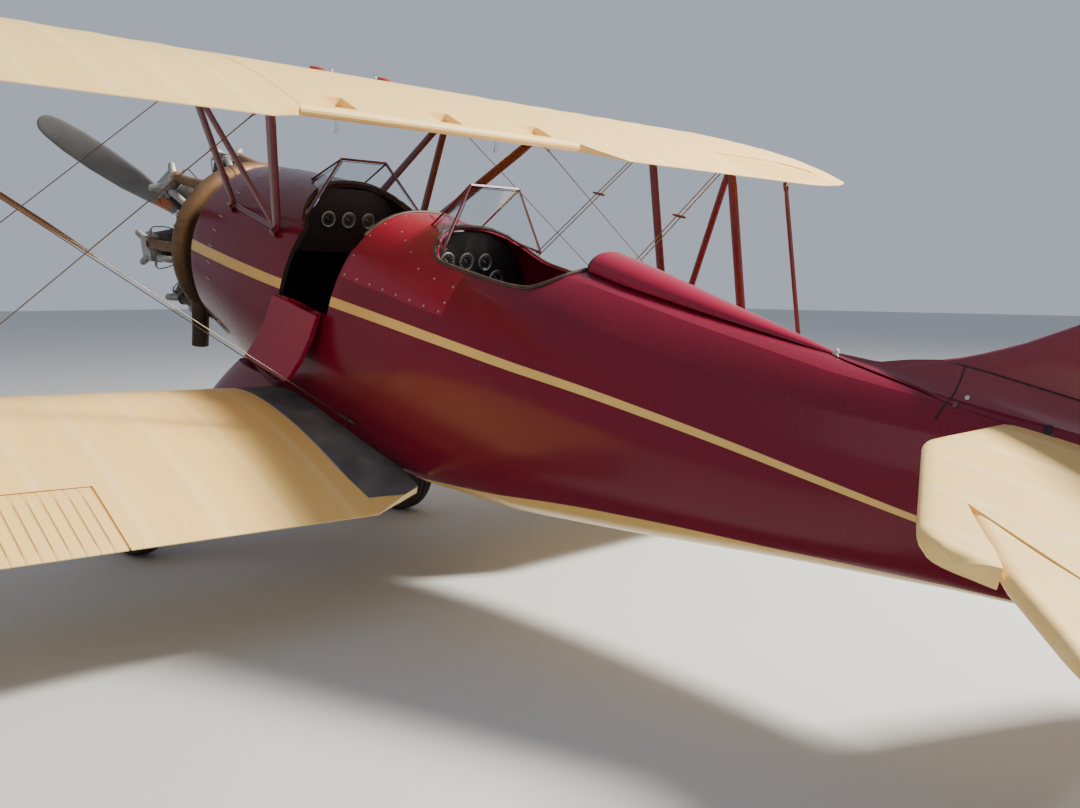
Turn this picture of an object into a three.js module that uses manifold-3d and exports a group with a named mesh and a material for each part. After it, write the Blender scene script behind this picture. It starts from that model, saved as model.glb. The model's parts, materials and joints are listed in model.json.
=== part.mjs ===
// An open two-cockpit biplane with an uncowled seven-cylinder radial engine, standing on its gear.
// Millimetres. The pieces are made in the aircraft's level frame: X is to port, Y runs aft and Z up
// from a datum point low in front of the nose. The whole group is then tilted tail-down to the ground.
import * as THREE from "three";
import { mergeVertices } from "three/addons/utils/BufferGeometryUtils.js";
import Module from "manifold-3d";

const wasm = await Module();
wasm.setup();

// Driving dimensions
const TILT = THREE.MathUtils.degToRad(13.5); // nose-up attitude on the ground
const DATUM_HEIGHT = 1750; // datum above the ground
const GAP = 0.3; // between pieces that touch
const CHORD = 1448;
const UPPER = { le: 1790, h: 1225, root: 862, tip: 4572, bow: 1672, dihedral: 0 };
const LOWER = { le: 2335, h: -383, root: 380, tip: 4090, bow: 1400, dihedral: 1.75 };
const INCIDENCE = THREE.MathUtils.degToRad(1.3);
const SPAR = { front: 0.1, rear: 0.61 }; // chord fractions of the two spars
const HINGE = 0.74; // chord fraction of the aileron hinges
const WALL = 25; // fuselage frame and skin together
const STRUT_STATION = 2772; // interplane struts
const PUSH_STATION = 2761; // rods between the ailerons
const ENGINE = { s: 500, h: 300 }; // where the crankshaft's front end lies
const PROP_RADIUS = 1165;
const PROP_ANGLE = THREE.MathUtils.degToRad(29);
const MAIN = { s: 1850, b: 910, radius: 305, width: 190 };
const TAIL = { s: 6750, radius: 125, width: 78 };
const RUDDER_HINGE = 6640;
const ELEVATOR_HINGE = 6700;
const TAIL_HEIGHT = 745; // tailplane above the datum

// Fuselage sections: station, half width, top, widest height, bottom, roundness above and below
const BODY = [
  [1440, 500, 825, 320, -235, 2.0, 2.0],
  [1700, 515, 845, 290, -305, 2.1, 2.0],
  [2000, 528, 860, 230, -365, 2.2, 2.1],
  [2370, 530, 868, 190, -400, 2.3, 2.6],
  [3000, 520, 828, 160, -408, 2.4, 3.1],
  [3600, 495, 835, 160, -365, 2.4, 3.2],
  [4200, 455, 835, 170, -262, 2.4, 3.2],
  [4800, 385, 808, 200, -108, 2.3, 3.2],
  [5400, 295, 788, 270, 52, 2.2, 3.2],
  [6000, 185, 805, 380, 192, 2.1, 3.0],
  [6600, 50, 830, 480, 305, 2.0, 2.6],
];

// Wing section: fraction of the chord, upper height, lower height
const SECTION = [
  [0, 0.035, 0.035],
  [0.0125, 0.0545, 0.0193],
  [0.05, 0.079, 0.0093],
  [0.1, 0.096, 0.0042],
  [0.2, 0.1136, 0.0],
  [0.35, 0.1165, 0.0],
  [0.5, 0.1052, 0.0],
  [0.65, 0.083, 0.0],
  [0.8, 0.0522, 0.0],
  [0.9, 0.028, 0.0],
  [1, 0.003, 0.0],
];

const COLOUR = {
  maroon: [0x6b0f1d, 0.25, 0.0],
  cream: [0xe9d5a0, 0.45, 0.0],
  strut: [0x561018, 0.35, 0.0],
  steel: [0x6f5846, 0.5, 0.8],
  aluminium: [0x9a9c9e, 0.4, 0.9],
  black: [0x16181c, 0.6, 0.0],
  rubber: [0x1b1b1b, 0.9, 0.0],
  leather: [0x2a1c18, 0.6, 0.0],
  glass: [0xd6e2e6, 0.05, 0.0],
  wire: [0x55585c, 0.4, 0.9],
};

// Solids

function outward(geometry) {
  const p = geometry.attributes.position;
  const index = geometry.index.array;
  let volume = 0;
  const [a, b, c] = [new THREE.Vector3(), new THREE.Vector3(), new THREE.Vector3()];
  for (let i = 0; i < index.length; i += 3) {
    a.fromBufferAttribute(p, index[i]);
    b.fromBufferAttribute(p, index[i + 1]);
    c.fromBufferAttribute(p, index[i + 2]);
    volume += a.dot(b.cross(c));
  }
  if (volume < 0) {
    for (let i = 0; i < index.length; i += 3) {
      [index[i + 1], index[i + 2]] = [index[i + 2], index[i + 1]];
    }
  }
  return geometry;
}

// Shared vertices merged, and slivers that the merging leaves dropped
function welded(geometry) {
  const plain = new THREE.BufferGeometry();
  plain.setAttribute("position", geometry.attributes.position.clone());
  if (geometry.index) plain.setIndex(Array.from(geometry.index.array));
  const merged = mergeVertices(plain, 1e-3);
  const index = merged.index.array;
  const kept = [];
  for (let i = 0; i < index.length; i += 3) {
    const [a, b, c] = [index[i], index[i + 1], index[i + 2]];
    if (a !== b && b !== c && c !== a) kept.push(a, b, c);
  }
  merged.setIndex(kept);
  return outward(merged);
}

function solid(geometry) {
  const g = welded(geometry);
  return new wasm.Manifold(
    new wasm.Mesh({
      numProp: 3,
      vertProperties: new Float32Array(g.attributes.position.array),
      triVerts: new Uint32Array(g.index.array),
    }),
  );
}

function shape(manifold) {
  const made = manifold.getMesh();
  const geometry = new THREE.BufferGeometry();
  geometry.setAttribute("position", new THREE.BufferAttribute(made.vertProperties, made.numProp));
  geometry.setIndex(Array.from(made.triVerts));
  return geometry;
}

function joined(...geometries) {
  return shape(geometries.map(solid).reduce((sum, next) => sum.add(next)));
}

function cut(geometry, ...tools) {
  return shape(tools.map(solid).reduce((rest, tool) => rest.subtract(tool), solid(geometry)));
}

function common(geometry, tool) {
  return shape(solid(geometry).intersect(solid(tool)));
}

function moved(geometry, x, y, z) {
  return geometry.clone().translate(x, y, z);
}

function sided(geometry, sign) {
  return sign > 0 ? geometry : outward(welded(geometry.clone().scale(-1, 1, 1)));
}

// A skin over rings of equal count, closed at both ends about each end ring's middle
function loft(rings) {
  const count = rings[0].length;
  const points = rings.flat();
  const index = [];
  for (let r = 0; r + 1 < rings.length; r += 1) {
    for (let i = 0; i < count; i += 1) {
      const j = (i + 1) % count;
      const [a, b, c, d] = [r * count + i, r * count + j, (r + 1) * count + j, (r + 1) * count + i];
      const port = points[a].x + points[b].x >= 0;
      index.push(...(port ? [a, b, c, a, c, d] : [a, b, d, b, c, d]));
    }
  }
  for (const [ring, start] of [[rings[0], 0], [rings.at(-1), (rings.length - 1) * count]]) {
    const middle = ring.reduce((sum, p) => sum.add(p), new THREE.Vector3()).divideScalar(count);
    points.push(middle);
    for (let i = 0; i < count; i += 1) {
      const pair = [start + i, start + ((i + 1) % count)];
      index.push(points.length - 1, ...(start === 0 ? pair.reverse() : pair));
    }
  }
  const geometry = new THREE.BufferGeometry().setFromPoints(points);
  geometry.setIndex(index);
  return outward(geometry);
}

function box(x0, x1, y0, y1, z0, z1) {
  const geometry = new THREE.BoxGeometry(x1 - x0, y1 - y0, z1 - z0);
  return geometry.translate((x0 + x1) / 2, (y0 + y1) / 2, (z0 + z1) / 2);
}

// A straight member of oval section between two points, its long way along the aircraft
function strut(from, to, chord, thick, sides = 10) {
  const along = to.clone().sub(from).normalize();
  const fore = new THREE.Vector3(0, 1, 0).addScaledVector(along, -along.y).normalize();
  const across = along.clone().cross(fore);
  const ring = (centre, scale) =>
    Array.from({ length: sides }, (_, i) => {
      const t = (2 * Math.PI * i) / sides;
      return centre
        .clone()
        .addScaledVector(fore, (Math.cos(t) * chord * scale) / 2)
        .addScaledVector(across, (Math.sin(t) * thick * scale) / 2);
    });
  return loft([ring(from, 1), ring(to, 1)]);
}

function rod(from, to, radius, sides = 8) {
  const along = to.clone().sub(from);
  const geometry = new THREE.CylinderGeometry(radius, radius, along.length(), sides);
  const turn = new THREE.Quaternion().setFromUnitVectors(
    new THREE.Vector3(0, 1, 0),
    along.clone().normalize(),
  );
  geometry.applyQuaternion(turn);
  const middle = from.clone().add(to).multiplyScalar(0.5);
  return geometry.translate(middle.x, middle.y, middle.z);
}

function point(b, s, h) {
  return new THREE.Vector3(b, s, h);
}

// An outline of station and height, pushed across the aircraft between two buttlines
function across(outline, b0, b1) {
  const flat = new THREE.Shape(outline.map(([s, h]) => new THREE.Vector2(s, h)));
  const geometry = new THREE.ExtrudeGeometry(flat, { depth: b1 - b0, bevelEnabled: false });
  const turn = new THREE.Matrix4().makeBasis(point(0, 1, 0), point(0, 0, 1), point(1, 0, 0));
  return geometry.applyMatrix4(turn).translate(b0, 0, 0);
}

// An outline of buttline and station, pushed up between two heights
function upright(outline, h0, h1) {
  const flat = new THREE.Shape(outline.map(([b, s]) => new THREE.Vector2(b, s)));
  const geometry = new THREE.ExtrudeGeometry(flat, { depth: h1 - h0, bevelEnabled: false });
  return geometry.translate(0, 0, h0);
}

// Fuselage

function bodyAt(s) {
  const last = BODY.length - 2;
  const i = Math.min(last, Math.max(0, BODY.findIndex((row) => row[0] > s) - 1));
  const row = s >= BODY.at(-1)[0] ? last : i;
  const [a, b] = [BODY[row], BODY[row + 1]];
  const t = (s - a[0]) / (b[0] - a[0]);
  return a.map((v, k) => v + (b[k] - v) * t);
}

function bodyRing(s, inset, count = 36) {
  const [, w, top, mid, bottom, above, below] = bodyAt(s);
  return Array.from({ length: count }, (_, i) => {
    const t = (2 * Math.PI * i) / count;
    const up = Math.sin(t) >= 0;
    const power = 2 / (up ? above : below);
    const reach = (up ? top - mid : mid - bottom) - inset;
    const x = Math.sign(Math.cos(t)) * Math.abs(Math.cos(t)) ** power * (w - inset);
    const z = Math.sign(Math.sin(t)) * Math.abs(Math.sin(t)) ** power * reach;
    return point(x, s, mid + z);
  });
}

function bodySolid(s0, s1, inset) {
  const stations = BODY.map((row) => row[0]).filter((s) => s > s0 + 1 && s < s1 - 1);
  return loft([s0, ...stations, s1].map((s) => bodyRing(s, inset)));
}

// Half width of the body's side at a station and height
function sideAt(s, h) {
  const [, w, top, mid, bottom, above, below] = bodyAt(s);
  const [reach, power] = h > mid ? [top - mid, above] : [mid - bottom, below];
  const t = Math.min(1, Math.abs(h - mid) / reach);
  return w * (1 - t ** power) ** (1 / power);
}

const NOSE = 1440;
const FIREWALL = 1700;
const BODY_END = 6600;
const CABIN = { from: 1728, to: 4260 };
const outer = bodySolid(NOSE, BODY_END, 0);
const FRONT_PIT = [[2230, 1300], [2230, 870], [2480, 640], [2940, 640], [2940, 1300]];
const REAR_PIT = [[3256, 1300], [3256, 850], [3480, 700], [4080, 700], [4200, 845], [4200, 1300]];
const DOOR = { s0: 2490, s1: 2930, sill: 300, top: 634, gap: 6 };
const DOOR_HINGE = { b: sideAt(DOOR.s0, DOOR.sill) + 7, h: DOOR.sill + 2 };
const DOOR_OPEN = THREE.MathUtils.degToRad(176);
const HINGE_STATIONS = [DOOR.s0 + 50, DOOR.s1 - 90];
const DECK = { s0: 2945, s1: 3700, h: 500 };
const COWL = { wall: 14, mouth: 335, h: 320 };

function noseCowl() {
  const hollow = bodySolid(NOSE + COWL.wall, FIREWALL + 1, COWL.wall);
  const ring = cut(bodySolid(NOSE, FIREWALL - GAP, 0), hollow);
  const mouth = new THREE.CylinderGeometry(COWL.mouth, COWL.mouth, 60, 40);
  return cut(ring, mouth.translate(0, NOSE, COWL.h));
}

function fuselage() {
  const pits = [across(FRONT_PIT, -700, 700), across(REAR_PIT, -700, 700)];
  const door = box(300, 700, DOOR.s0, DOOR.s1, DOOR.sill, DOOR.top + DOOR.gap + 1);
  const deck = box(-700, 700, DECK.s0 - GAP, DECK.s1 + GAP, DECK.h - GAP, 1300);
  const shell = cut(bodySolid(FIREWALL, BODY_END, 0), bodySolid(CABIN.from, CABIN.to, WALL));
  return joined(cut(shell, ...pits, door, deck), ...hingeKnuckles());
}

// The fixed halves of the door's two hinges, just forward of the door's own barrels
function hingeKnuckles() {
  const { b, h } = DOOR_HINGE;
  return HINGE_STATIONS.flatMap((s) => [
    rod(point(b, s - GAP, h), point(b, s - 40, h), 5, 8),
    box(b - 22, b + 2, s - 40, s - GAP, h - 18, h - 1),
  ]);
}

// The metal deck between the cockpits
function midDeck() {
  const shell = cut(bodySolid(DECK.s0, DECK.s1, 0), bodySolid(DECK.s0 - 1, DECK.s1 + 1, 14));
  const region = box(-700, 700, DECK.s0, DECK.s1, DECK.h, 1300);
  return cut(common(shell, region), across(REAR_PIT, -700, 700));
}

function headrest() {
  // Columns: station, half width, height over the deck
  const rows = [
    [4212, 130, 78], [4400, 128, 72], [4700, 100, 52], [5000, 66, 32], [5210, 36, 18], [5330, 12, 6],
  ];
  const rings = rows.map(([s, half, rise]) => {
    const top = bodyAt(s)[2];
    return Array.from({ length: 18 }, (_, i) => {
      const t = (2 * Math.PI * i) / 18;
      return point(Math.cos(t) * half, s, top + Math.sin(t) * (Math.sin(t) > 0 ? rise : 60));
    });
  });
  return cut(loft(rings), moved(bodySolid(NOSE, BODY_END, 0), 0, 0, GAP));
}

function inside(s0, s1, h0, h1) {
  const room = bodySolid(CABIN.from + GAP, CABIN.to - GAP, WALL + 2 * GAP);
  return common(room, box(-700, 700, s0, s1, h0, h1));
}

const FLOOR = { h: -190, thick: 15, s0: 1700, s1: 4240 };

function floorBoard() {
  return inside(FLOOR.s0, FLOOR.s1, FLOOR.h - FLOOR.thick, FLOOR.h);
}

// A bench on a box frame, with its back leaning aft
function seat(s, half, height, depth, backTop) {
  const base = FLOOR.h + GAP;
  const pan = FLOOR.h + height;
  const side = [
    [s, base], [s, pan], [s + depth, pan - 30], [s + depth + 110, backTop],
    [s + depth + 150, backTop], [s + depth + 70, pan - 60], [s + depth + 40, base],
  ];
  const [front, back] = [s - 9, s + depth + 90];
  const under = [[front, base - 9], [front, pan - 30], [back, pan - 85], [back, base - 9]];
  return cut(across(side, -half, half), across(under, -half + 25, half - 25));
}

function cushion(s, half, height, depth, backTop) {
  const pan = FLOOR.h + height + GAP;
  const slope = (backTop - pan) / 110;
  const at = (h, off) => s + depth + (h - pan + 30) / slope - off;
  const outline = [
    [s - 8, pan], [s - 8, pan + 70], [s + 10, pan + 88], [s + depth - 110, pan + 74],
    [at(backTop - 30, 80), backTop - 30], [at(backTop, 62), backTop - 4],
    [at(backTop, 14), backTop - 4], [s + depth - 14, pan],
  ];
  return across(outline, -half + 12, half - 12);
}

const FRONT_SEAT = [2440, 380, 270, 400, 500];
const REAR_SEAT = [3700, 225, 270, 345, 560];

function panel(s, top) {
  return inside(s, s + 12, 480, top);
}

// Torque tube on the floor with a stick at each pilot's place
function controls() {
  const low = FLOOR.h + 32;
  const tube = rod(point(0, 2180, low), point(0, 3560, low), 16, 8);
  const foot = (s) => box(-40, 40, s - 30, s + 30, FLOOR.h + GAP, low + 4);
  const stick = (s) => rod(point(0, s, low), point(0, s + 60, low + 430), 11, 6);
  const grip = (s) => rod(point(0, s + 58, low + 410), point(0, s + 72, low + 520), 17, 6);
  const sticks = [2250, 3500].flatMap((s) => [foot(s), stick(s), grip(s)]);
  return joined(tube, ...sticks);
}

// The front cockpit's door, cut from the same side wall and hung on its sill
function door() {
  const wall = cut(bodySolid(2400, 3050, 0), bodySolid(2390, 3060, WALL));
  const { s0, s1, sill, top, gap } = DOOR;
  const leaf = common(wall, box(300, 700, s0 + gap, s1 - gap, sill + gap, top));
  const { b, h } = DOOR_HINGE;
  const barrel = (s) => rod(point(b, s, h), point(b, s + 60, h), 5, 8);
  const lug = (s) => box(b - 26, b + 2, s, s + 60, h, h + 14);
  const knuckles = HINGE_STATIONS.flatMap((s) => [barrel(s), lug(s)]);
  return joined(leaf, ...knuckles);
}

// Three-pane screens: each corner's buttline, station and height, at foot, top and rear
const SCREENS = {
  front: { foot: [165, 2130, 845], top: [138, 2349, 984], rear: [372, 2446, 702] },
  rear: { foot: [150, 3190, 806], top: [147, 3422, 1032], rear: [296, 3478, 745] },
};

function screen({ foot, top, rear }) {
  const left = [foot, top, rear].map((p) => point(...p));
  const right = left.map((p) => point(-p.x, p.y, p.z));
  return { left, right };
}

function sheet(corners, thick) {
  const normal = corners[1].clone().sub(corners[0]).cross(corners[2].clone().sub(corners[0])).normalize();
  return loft([-0.5, 0.5].map((k) => corners.map((p) => p.clone().addScaledVector(normal, k * thick))));
}

function screenGlass(corners) {
  const { left, right } = screen(corners);
  const centre = sheet([left[0], left[1], right[1], right[0]], 4);
  const glass = joined(centre, sheet(left, 4), sheet(right, 4));
  return cut(glass, moved(outer, 0, 0, 1), moved(outer, 0, 0, 0.5));
}

function screenFrame(corners) {
  const { left, right } = screen(corners);
  const out = ([a, b, c], sign) => [
    a.clone().add(point(sign * 5, -11, 3)),
    b.clone().add(point(sign * 5, -7, 10)),
    c.clone().add(point(sign * 11, -2, 8)),
  ];
  const [l, r] = [out(left, 1), out(right, -1)];
  const edges = [[l[0], r[0]], [l[1], r[1]], [l[0], l[1]], [r[0], r[1]], [l[1], l[2]], [r[1], r[2]],
    [l[0], l[2]], [r[0], r[2]]];
  const bars = edges.map(([p, q]) => rod(p, q, 6.5, 4));
  const knots = [...l, ...r].map((p) => new THREE.OctahedronGeometry(9, 0).translate(p.x, p.y, p.z));
  return cut(joined(...bars, ...knots), moved(outer, 0, 0, GAP));
}

// Engine

const CYLINDERS = 7;
const CYLINDER_STATION = 365;
const CRANKCASE = 235;

// A profile of station and radius, turned about the thrust line
function turned(profile, segments) {
  const points = profile.map(([s, r]) => new THREE.Vector2(r, s));
  return new THREE.LatheGeometry(points, segments);
}

// One cylinder on the thrust line's Z side: finned barrel, head and two rocker boxes
function cylinder() {
  const fins = [];
  for (let i = 0; i < 3; i += 1) {
    const r = 268 + i * 66;
    fins.push([r, 68], [r + 8, 88], [r + 30, 88], [r + 38, 68]);
  }
  const barrel = [[CRANKCASE - 30, 0], [CRANKCASE - 30, 74], ...fins, [480, 80], [520, 62], [524, 0]];
  const lathe = new THREE.LatheGeometry(barrel.map(([z, r]) => new THREE.Vector2(r, z)), 8);
  lathe.rotateX(Math.PI / 2);
  const rocker = (x) => {
    const cap = new THREE.CapsuleGeometry(25, 62, 1, 5).rotateX(0.25);
    return cap.scale(1, 1, 0.95).translate(x, -34, 512);
  };
  return joined(lathe, rocker(-46), rocker(46));
}

// Crankcase, propeller shaft and accessory case, grown outwards by an allowance
function crankcase(grown = 0) {
  // Columns: station, radius
  const rows = [[2.3, 40], [30, 40], [30, 60], [110, 72], [150, 120], [215, 215], [250, 240], [480, 240],
    [520, 215], [600, 205], [640, 150], [800, 145]];
  const profile = rows.map(([s, r]) => [s, r + grown]);
  return turned([[2.3, 0], ...profile, [820 + grown, 0]], 21);
}

function engine() {
  const one = cylinder();
  const ring = Array.from({ length: CYLINDERS }, (_, i) => {
    const turn = (2 * Math.PI * i) / CYLINDERS;
    return one.clone().translate(0, CYLINDER_STATION, 0).rotateY(turn);
  });
  const pipes = Array.from({ length: CYLINDERS }, (_, i) => {
    const turn = (2 * Math.PI * i) / CYLINDERS;
    const path = new THREE.CatmullRomCurve3([
      point(48, 590, 170), point(62, 585, 300), point(58, 545, 420), point(48, 440, 478),
    ]);
    const flat = new THREE.Shape().absarc(0, 0, 23, 0, 2 * Math.PI);
    const pipe = new THREE.ExtrudeGeometry(flat, {
      steps: 4, curveSegments: 3, extrudePath: path, bevelEnabled: false,
    });
    return pipe.rotateY(turn);
  });
  const sump = rod(point(0, 470, -215), point(0, 500, -400), 62, 12);
  return joined(crankcase(), sump, ...ring, ...pipes);
}

const COLLECTOR = { s: 745, radius: 455, tube: 62 };

function exhaust() {
  const ring = new THREE.TorusGeometry(COLLECTOR.radius, COLLECTOR.tube, 8, 28).rotateX(Math.PI / 2);
  ring.translate(0, COLLECTOR.s, 0);
  const stubs = Array.from({ length: CYLINDERS }, (_, i) => {
    const turn = (2 * Math.PI * i) / CYLINDERS;
    return rod(point(-40, 420, 480), point(-70, COLLECTOR.s - 20, COLLECTOR.radius), 30, 6).rotateY(turn);
  });
  const outlet = rod(point(310, COLLECTOR.s, -330), point(300, COLLECTOR.s + 30, -630), 52, 14);
  return largest(cut(joined(ring, outlet, ...stubs), moved(motor, 0, GAP, 0)));
}

function engineMount() {
  const back = FIREWALL - GAP - ENGINE.s;
  const ring = new THREE.TorusGeometry(240, 17, 5, 16).rotateX(Math.PI / 2).translate(0, 850, 0);
  const feet = [45, 135, 225, 315].map((d) => {
    const a = THREE.MathUtils.degToRad(d);
    const near = point(Math.cos(a) * 240, 850, Math.sin(a) * 240);
    const far = point(Math.cos(a) * 330, back, Math.sin(a) * 330);
    return rod(near, far, 16, 6);
  });
  const arms = [0, 90, 180, 270].map((d) => {
    const a = THREE.MathUtils.degToRad(d);
    const at = (s, r) => point(Math.cos(a) * r, s, Math.sin(a) * r);
    return rod(at(850, 241), at(760, 120), 14, 6);
  });
  const firewall = box(-400, 400, back, back + 50, -400, 400);
  return largest(cut(joined(ring, ...feet, ...arms), firewall, crankcase(GAP)));
}

// Propeller about the thrust line, its blades along X, with a flat hub face in front
function propeller() {
  // Columns: radius, chord, thickness, pitch in degrees
  const rows = [
    [60, 92, 74, 62], [150, 104, 62, 56], [300, 150, 42, 46], [500, 190, 28, 36], [740, 196, 20, 28],
    [940, 176, 14, 22], [1080, 140, 10, 19], [1145, 84, 8, 18], [PROP_RADIUS, 26, 5, 18],
  ];
  const blade = loft(rows.map(([r, chord, thick, pitch]) => {
    const a = THREE.MathUtils.degToRad(pitch);
    return Array.from({ length: 12 }, (_, i) => {
      const t = (2 * Math.PI * i) / 12;
      const [u, v] = [(Math.cos(t) * chord) / 2, (Math.sin(t) * thick) / 2];
      return point(r, u * Math.sin(a) + v * Math.cos(a), u * Math.cos(a) - v * Math.sin(a));
    });
  }));
  const other = blade.clone().rotateY(Math.PI);
  const hub = turned([[-62, 0], [-62, 62], [-44, 78], [42, 78], [42, 0]], 24);
  return joined(blade, other, hub);
}

// Wings

// Ring of a wing section whose chord runs aft from the origin; blunt ones end in a round bar
function sectionRing(b, le, chord, lift, cutOff = 1) {
  const rows = SECTION.filter(([x]) => x < cutOff - 0.01);
  const between = (k) => {
    const i = SECTION.findIndex(([x]) => x >= cutOff);
    const [p, q] = [SECTION[Math.max(0, i - 1)], SECTION[i]];
    return p[k] + ((q[k] - p[k]) * (cutOff - p[0])) / (q[0] - p[0] || 1);
  };
  const top = between(1);
  const bulge = cutOff < 1 ? top / 2 : 0;
  const upper = [...rows.map(([x, u]) => [x, u]), [cutOff, top]];
  const end = bulge ? [[cutOff + bulge * 0.87, top * 0.75], [cutOff + bulge * 0.87, top * 0.25]] : [];
  const lower = [[cutOff, 0], ...rows.slice(1).map(([x, , l]) => [x, l]).reverse()];
  return [...upper, ...end, ...lower].map(([x, z]) => point(b, le + x * chord, z * chord + lift));
}

// The tip bow's widest point lies at this chord fraction; its front part is half as long as its rear
const BOW = 0.42;
const LAST = 0.99; // the outermost ring, as a part of the bow's length

function wingPanel({ root, tip, bow }) {
  const rings = [root, (root + tip - bow) / 2, tip - bow].map((b) => sectionRing(b, 0, CHORD, 0));
  for (const t of [0.15, 0.3, 0.45, 0.6, 0.72, 0.82, 0.9, 0.96, LAST]) {
    const front = Math.max(2 * t - 1, 0);
    const rear = (1 - t ** 1.3) ** (1 / 1.3);
    const le = CHORD * BOW * (1 - Math.sqrt(1 - front ** 2));
    const chord = CHORD * (BOW + (1 - BOW) * rear) - le;
    rings.push(sectionRing(tip - bow * (1 - t / LAST), le, chord, 0));
  }
  return loft(rings);
}

// From a panel's own flat frame to its place: incidence, then dihedral about the centre line
function placed(geometry, wing) {
  const g = geometry.clone().translate(0, -CHORD, 0).rotateX(-INCIDENCE).translate(0, CHORD, 0);
  return g.rotateY(-THREE.MathUtils.degToRad(wing.dihedral)).translate(0, wing.le, wing.h);
}

function panelPoint(wing, b, fraction, z) {
  const g = new THREE.BufferGeometry().setFromPoints([point(b, CHORD * fraction, z)]);
  return new THREE.Vector3().fromBufferAttribute(placed(g, wing).attributes.position, 0);
}

// Ailerons: their two ends, and the hinge axis at mid depth of the section there
const AILERON = {
  upper: { b0: 2306, b1: 3500 },
  lower: { b0: 1805, b1: 3200 },
};
const HINGE_Z = 0.031 * CHORD;
const HINGE_R = 0.0295 * CHORD;

// The room of an aileron: its flat front lies a little aft of the hinge, behind a round nose
function aileronSpace({ b0, b1 }, front, slack) {
  const s = HINGE * CHORD;
  const bay = box(b0 - slack, b1 + slack, s + front, CHORD + 40, -80, 200);
  const [a, b] = [b0 - slack, b1 + slack].map((x) => point(x, s, HINGE_Z));
  const nose = rod(a, b, HINGE_R + slack * 0.75, 20);
  return joined(bay, nose);
}

// What the trailing edge loses next to the root: chord fraction and distance out where it ends
function rootCutOut({ root }, fraction, reach) {
  const outline = [[root - 5, fraction * CHORD], [root + reach, CHORD + 20], [root - 5, CHORD + 20]];
  return upright(outline, -100, 250);
}

function wing(panelSpec, flap, fraction, reach) {
  const spaces = [aileronSpace(flap, -10, 8), rootCutOut(panelSpec, fraction, reach)];
  const panel = placed(cut(wingPanel(panelSpec), ...spaces), panelSpec);
  return largest(cut(panel, moved(outer, GAP, 0, 0), moved(outer, GAP, 0, GAP)));
}

function hingePins({ b0, b1 }) {
  const z = HINGE_Z;
  return [rod(point(b0 - 7.6, HINGE * CHORD, z), point(b0 + 4, HINGE * CHORD, z), 9, 8),
    rod(point(b1 - 4, HINGE * CHORD, z), point(b1 + 7.6, HINGE * CHORD, z), 9, 8)];
}

function aileron(panelSpec, flap, bracketUp) {
  const leaf = common(wingPanel(panelSpec), aileronSpace(flap, 14, 0));
  const x = HINGE * CHORD + PUSH.reach;
  const z = bracketUp ? PUSH.low : PUSH.high;
  const [low, high] = bracketUp ? [20, z + PUSH.edge] : [z - PUSH.edge, 20];
  const [b0, b1] = [PUSH_STATION - PUSH.half, PUSH_STATION + PUSH.half];
  const bracket = box(b0, b1, x - PUSH.edge, x + PUSH.edge, low, high);
  const hole = rod(point(PUSH_STATION - 9, x, z), point(PUSH_STATION + 9, x, z), 6.4, 12);
  const whole = joined(leaf, bracket, ...hingePins(flap));
  return placed(bracketUp ? cut(whole, hole) : whole, panelSpec);
}

// Push rod pivots, measured in a wing's own frame: aft of the hinge and above its flat side
const PUSH = { reach: 290, low: 84, high: -24, edge: 13, cheek: 14, half: 4 };

const pushLow = panelPoint(LOWER, PUSH_STATION, HINGE + PUSH.reach / CHORD, PUSH.low);
const pushHigh = panelPoint(UPPER, PUSH_STATION, HINGE + PUSH.reach / CHORD, PUSH.high);

function pushRod() {
  const along = pushHigh.clone().sub(pushLow).normalize();
  const at = (base, reach, b) => base.clone().addScaledVector(along, reach).add(point(b, 0, 0));
  const bar = strut(at(pushLow, 30, 0), at(pushHigh, -30, 0), 34, 16, 8);
  const cheeks = [-PUSH.cheek, PUSH.cheek].flatMap((b) => [
    strut(at(pushLow, -11, b), at(pushLow, 44, b), 24, 6, 8),
    strut(at(pushHigh, 11, b), at(pushHigh, -44, b), 24, 6, 8),
  ]);
  const pin = rod(at(pushLow, 0, -PUSH.cheek), at(pushLow, 0, PUSH.cheek), 5.6, 12);
  const yokes = [box(-PUSH.cheek - 2.5, PUSH.cheek + 2.5, -9, 9, -9, 9)].flatMap((g) => {
    const low = at(pushLow, 36, 0);
    const high = at(pushHigh, -36, 0);
    return [moved(g, low.x, low.y, low.z), moved(g, high.x, high.y, high.z)];
  });
  return joined(bar, ...cheeks, pin, ...yokes);
}

function centreSection() {
  const half = UPPER.root - 1.2;
  const rings = [-half, 0, half].map((b) => sectionRing(b, 0, CHORD, 0, 0.87));
  const pocket = (b) => box(b - 72, b + 72, CHORD * 0.76, CHORD * 0.86, 0.028 * CHORD, 200);
  const whole = cut(loft(rings), ...[-640, 0, 640].map(pocket));
  const cap = (b) => rod(point(b, 330, 0.1 * CHORD), point(b, 330, 0.1165 * CHORD + 12), 42, 16);
  const flat = { ...UPPER, dihedral: 0 };
  return placed(joined(whole, cap(-210), cap(210)), flat);
}

// Struts

const underUpper = (b, fraction, depth) => panelPoint(UPPER, b, fraction, depth);
const onLower = (b, fraction, height) => panelPoint(LOWER, b, fraction, height);

function interplane() {
  const [tf, tr] = [SPAR.front, SPAR.rear].map((f) => underUpper(STRUT_STATION, f, 25));
  const bf = onLower(STRUT_STATION, SPAR.front, 70);
  const br = onLower(STRUT_STATION, SPAR.rear, 50);
  const n = joined(strut(tf, bf, 92, 30), strut(tr, br, 92, 30), strut(tr, bf, 70, 26));
  const top = moved(upperPanel, 0, 0, -GAP);
  const bottom = moved(lowerPanel, 0, 0, GAP);
  return largest(cut(n, top, bottom));
}

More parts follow.
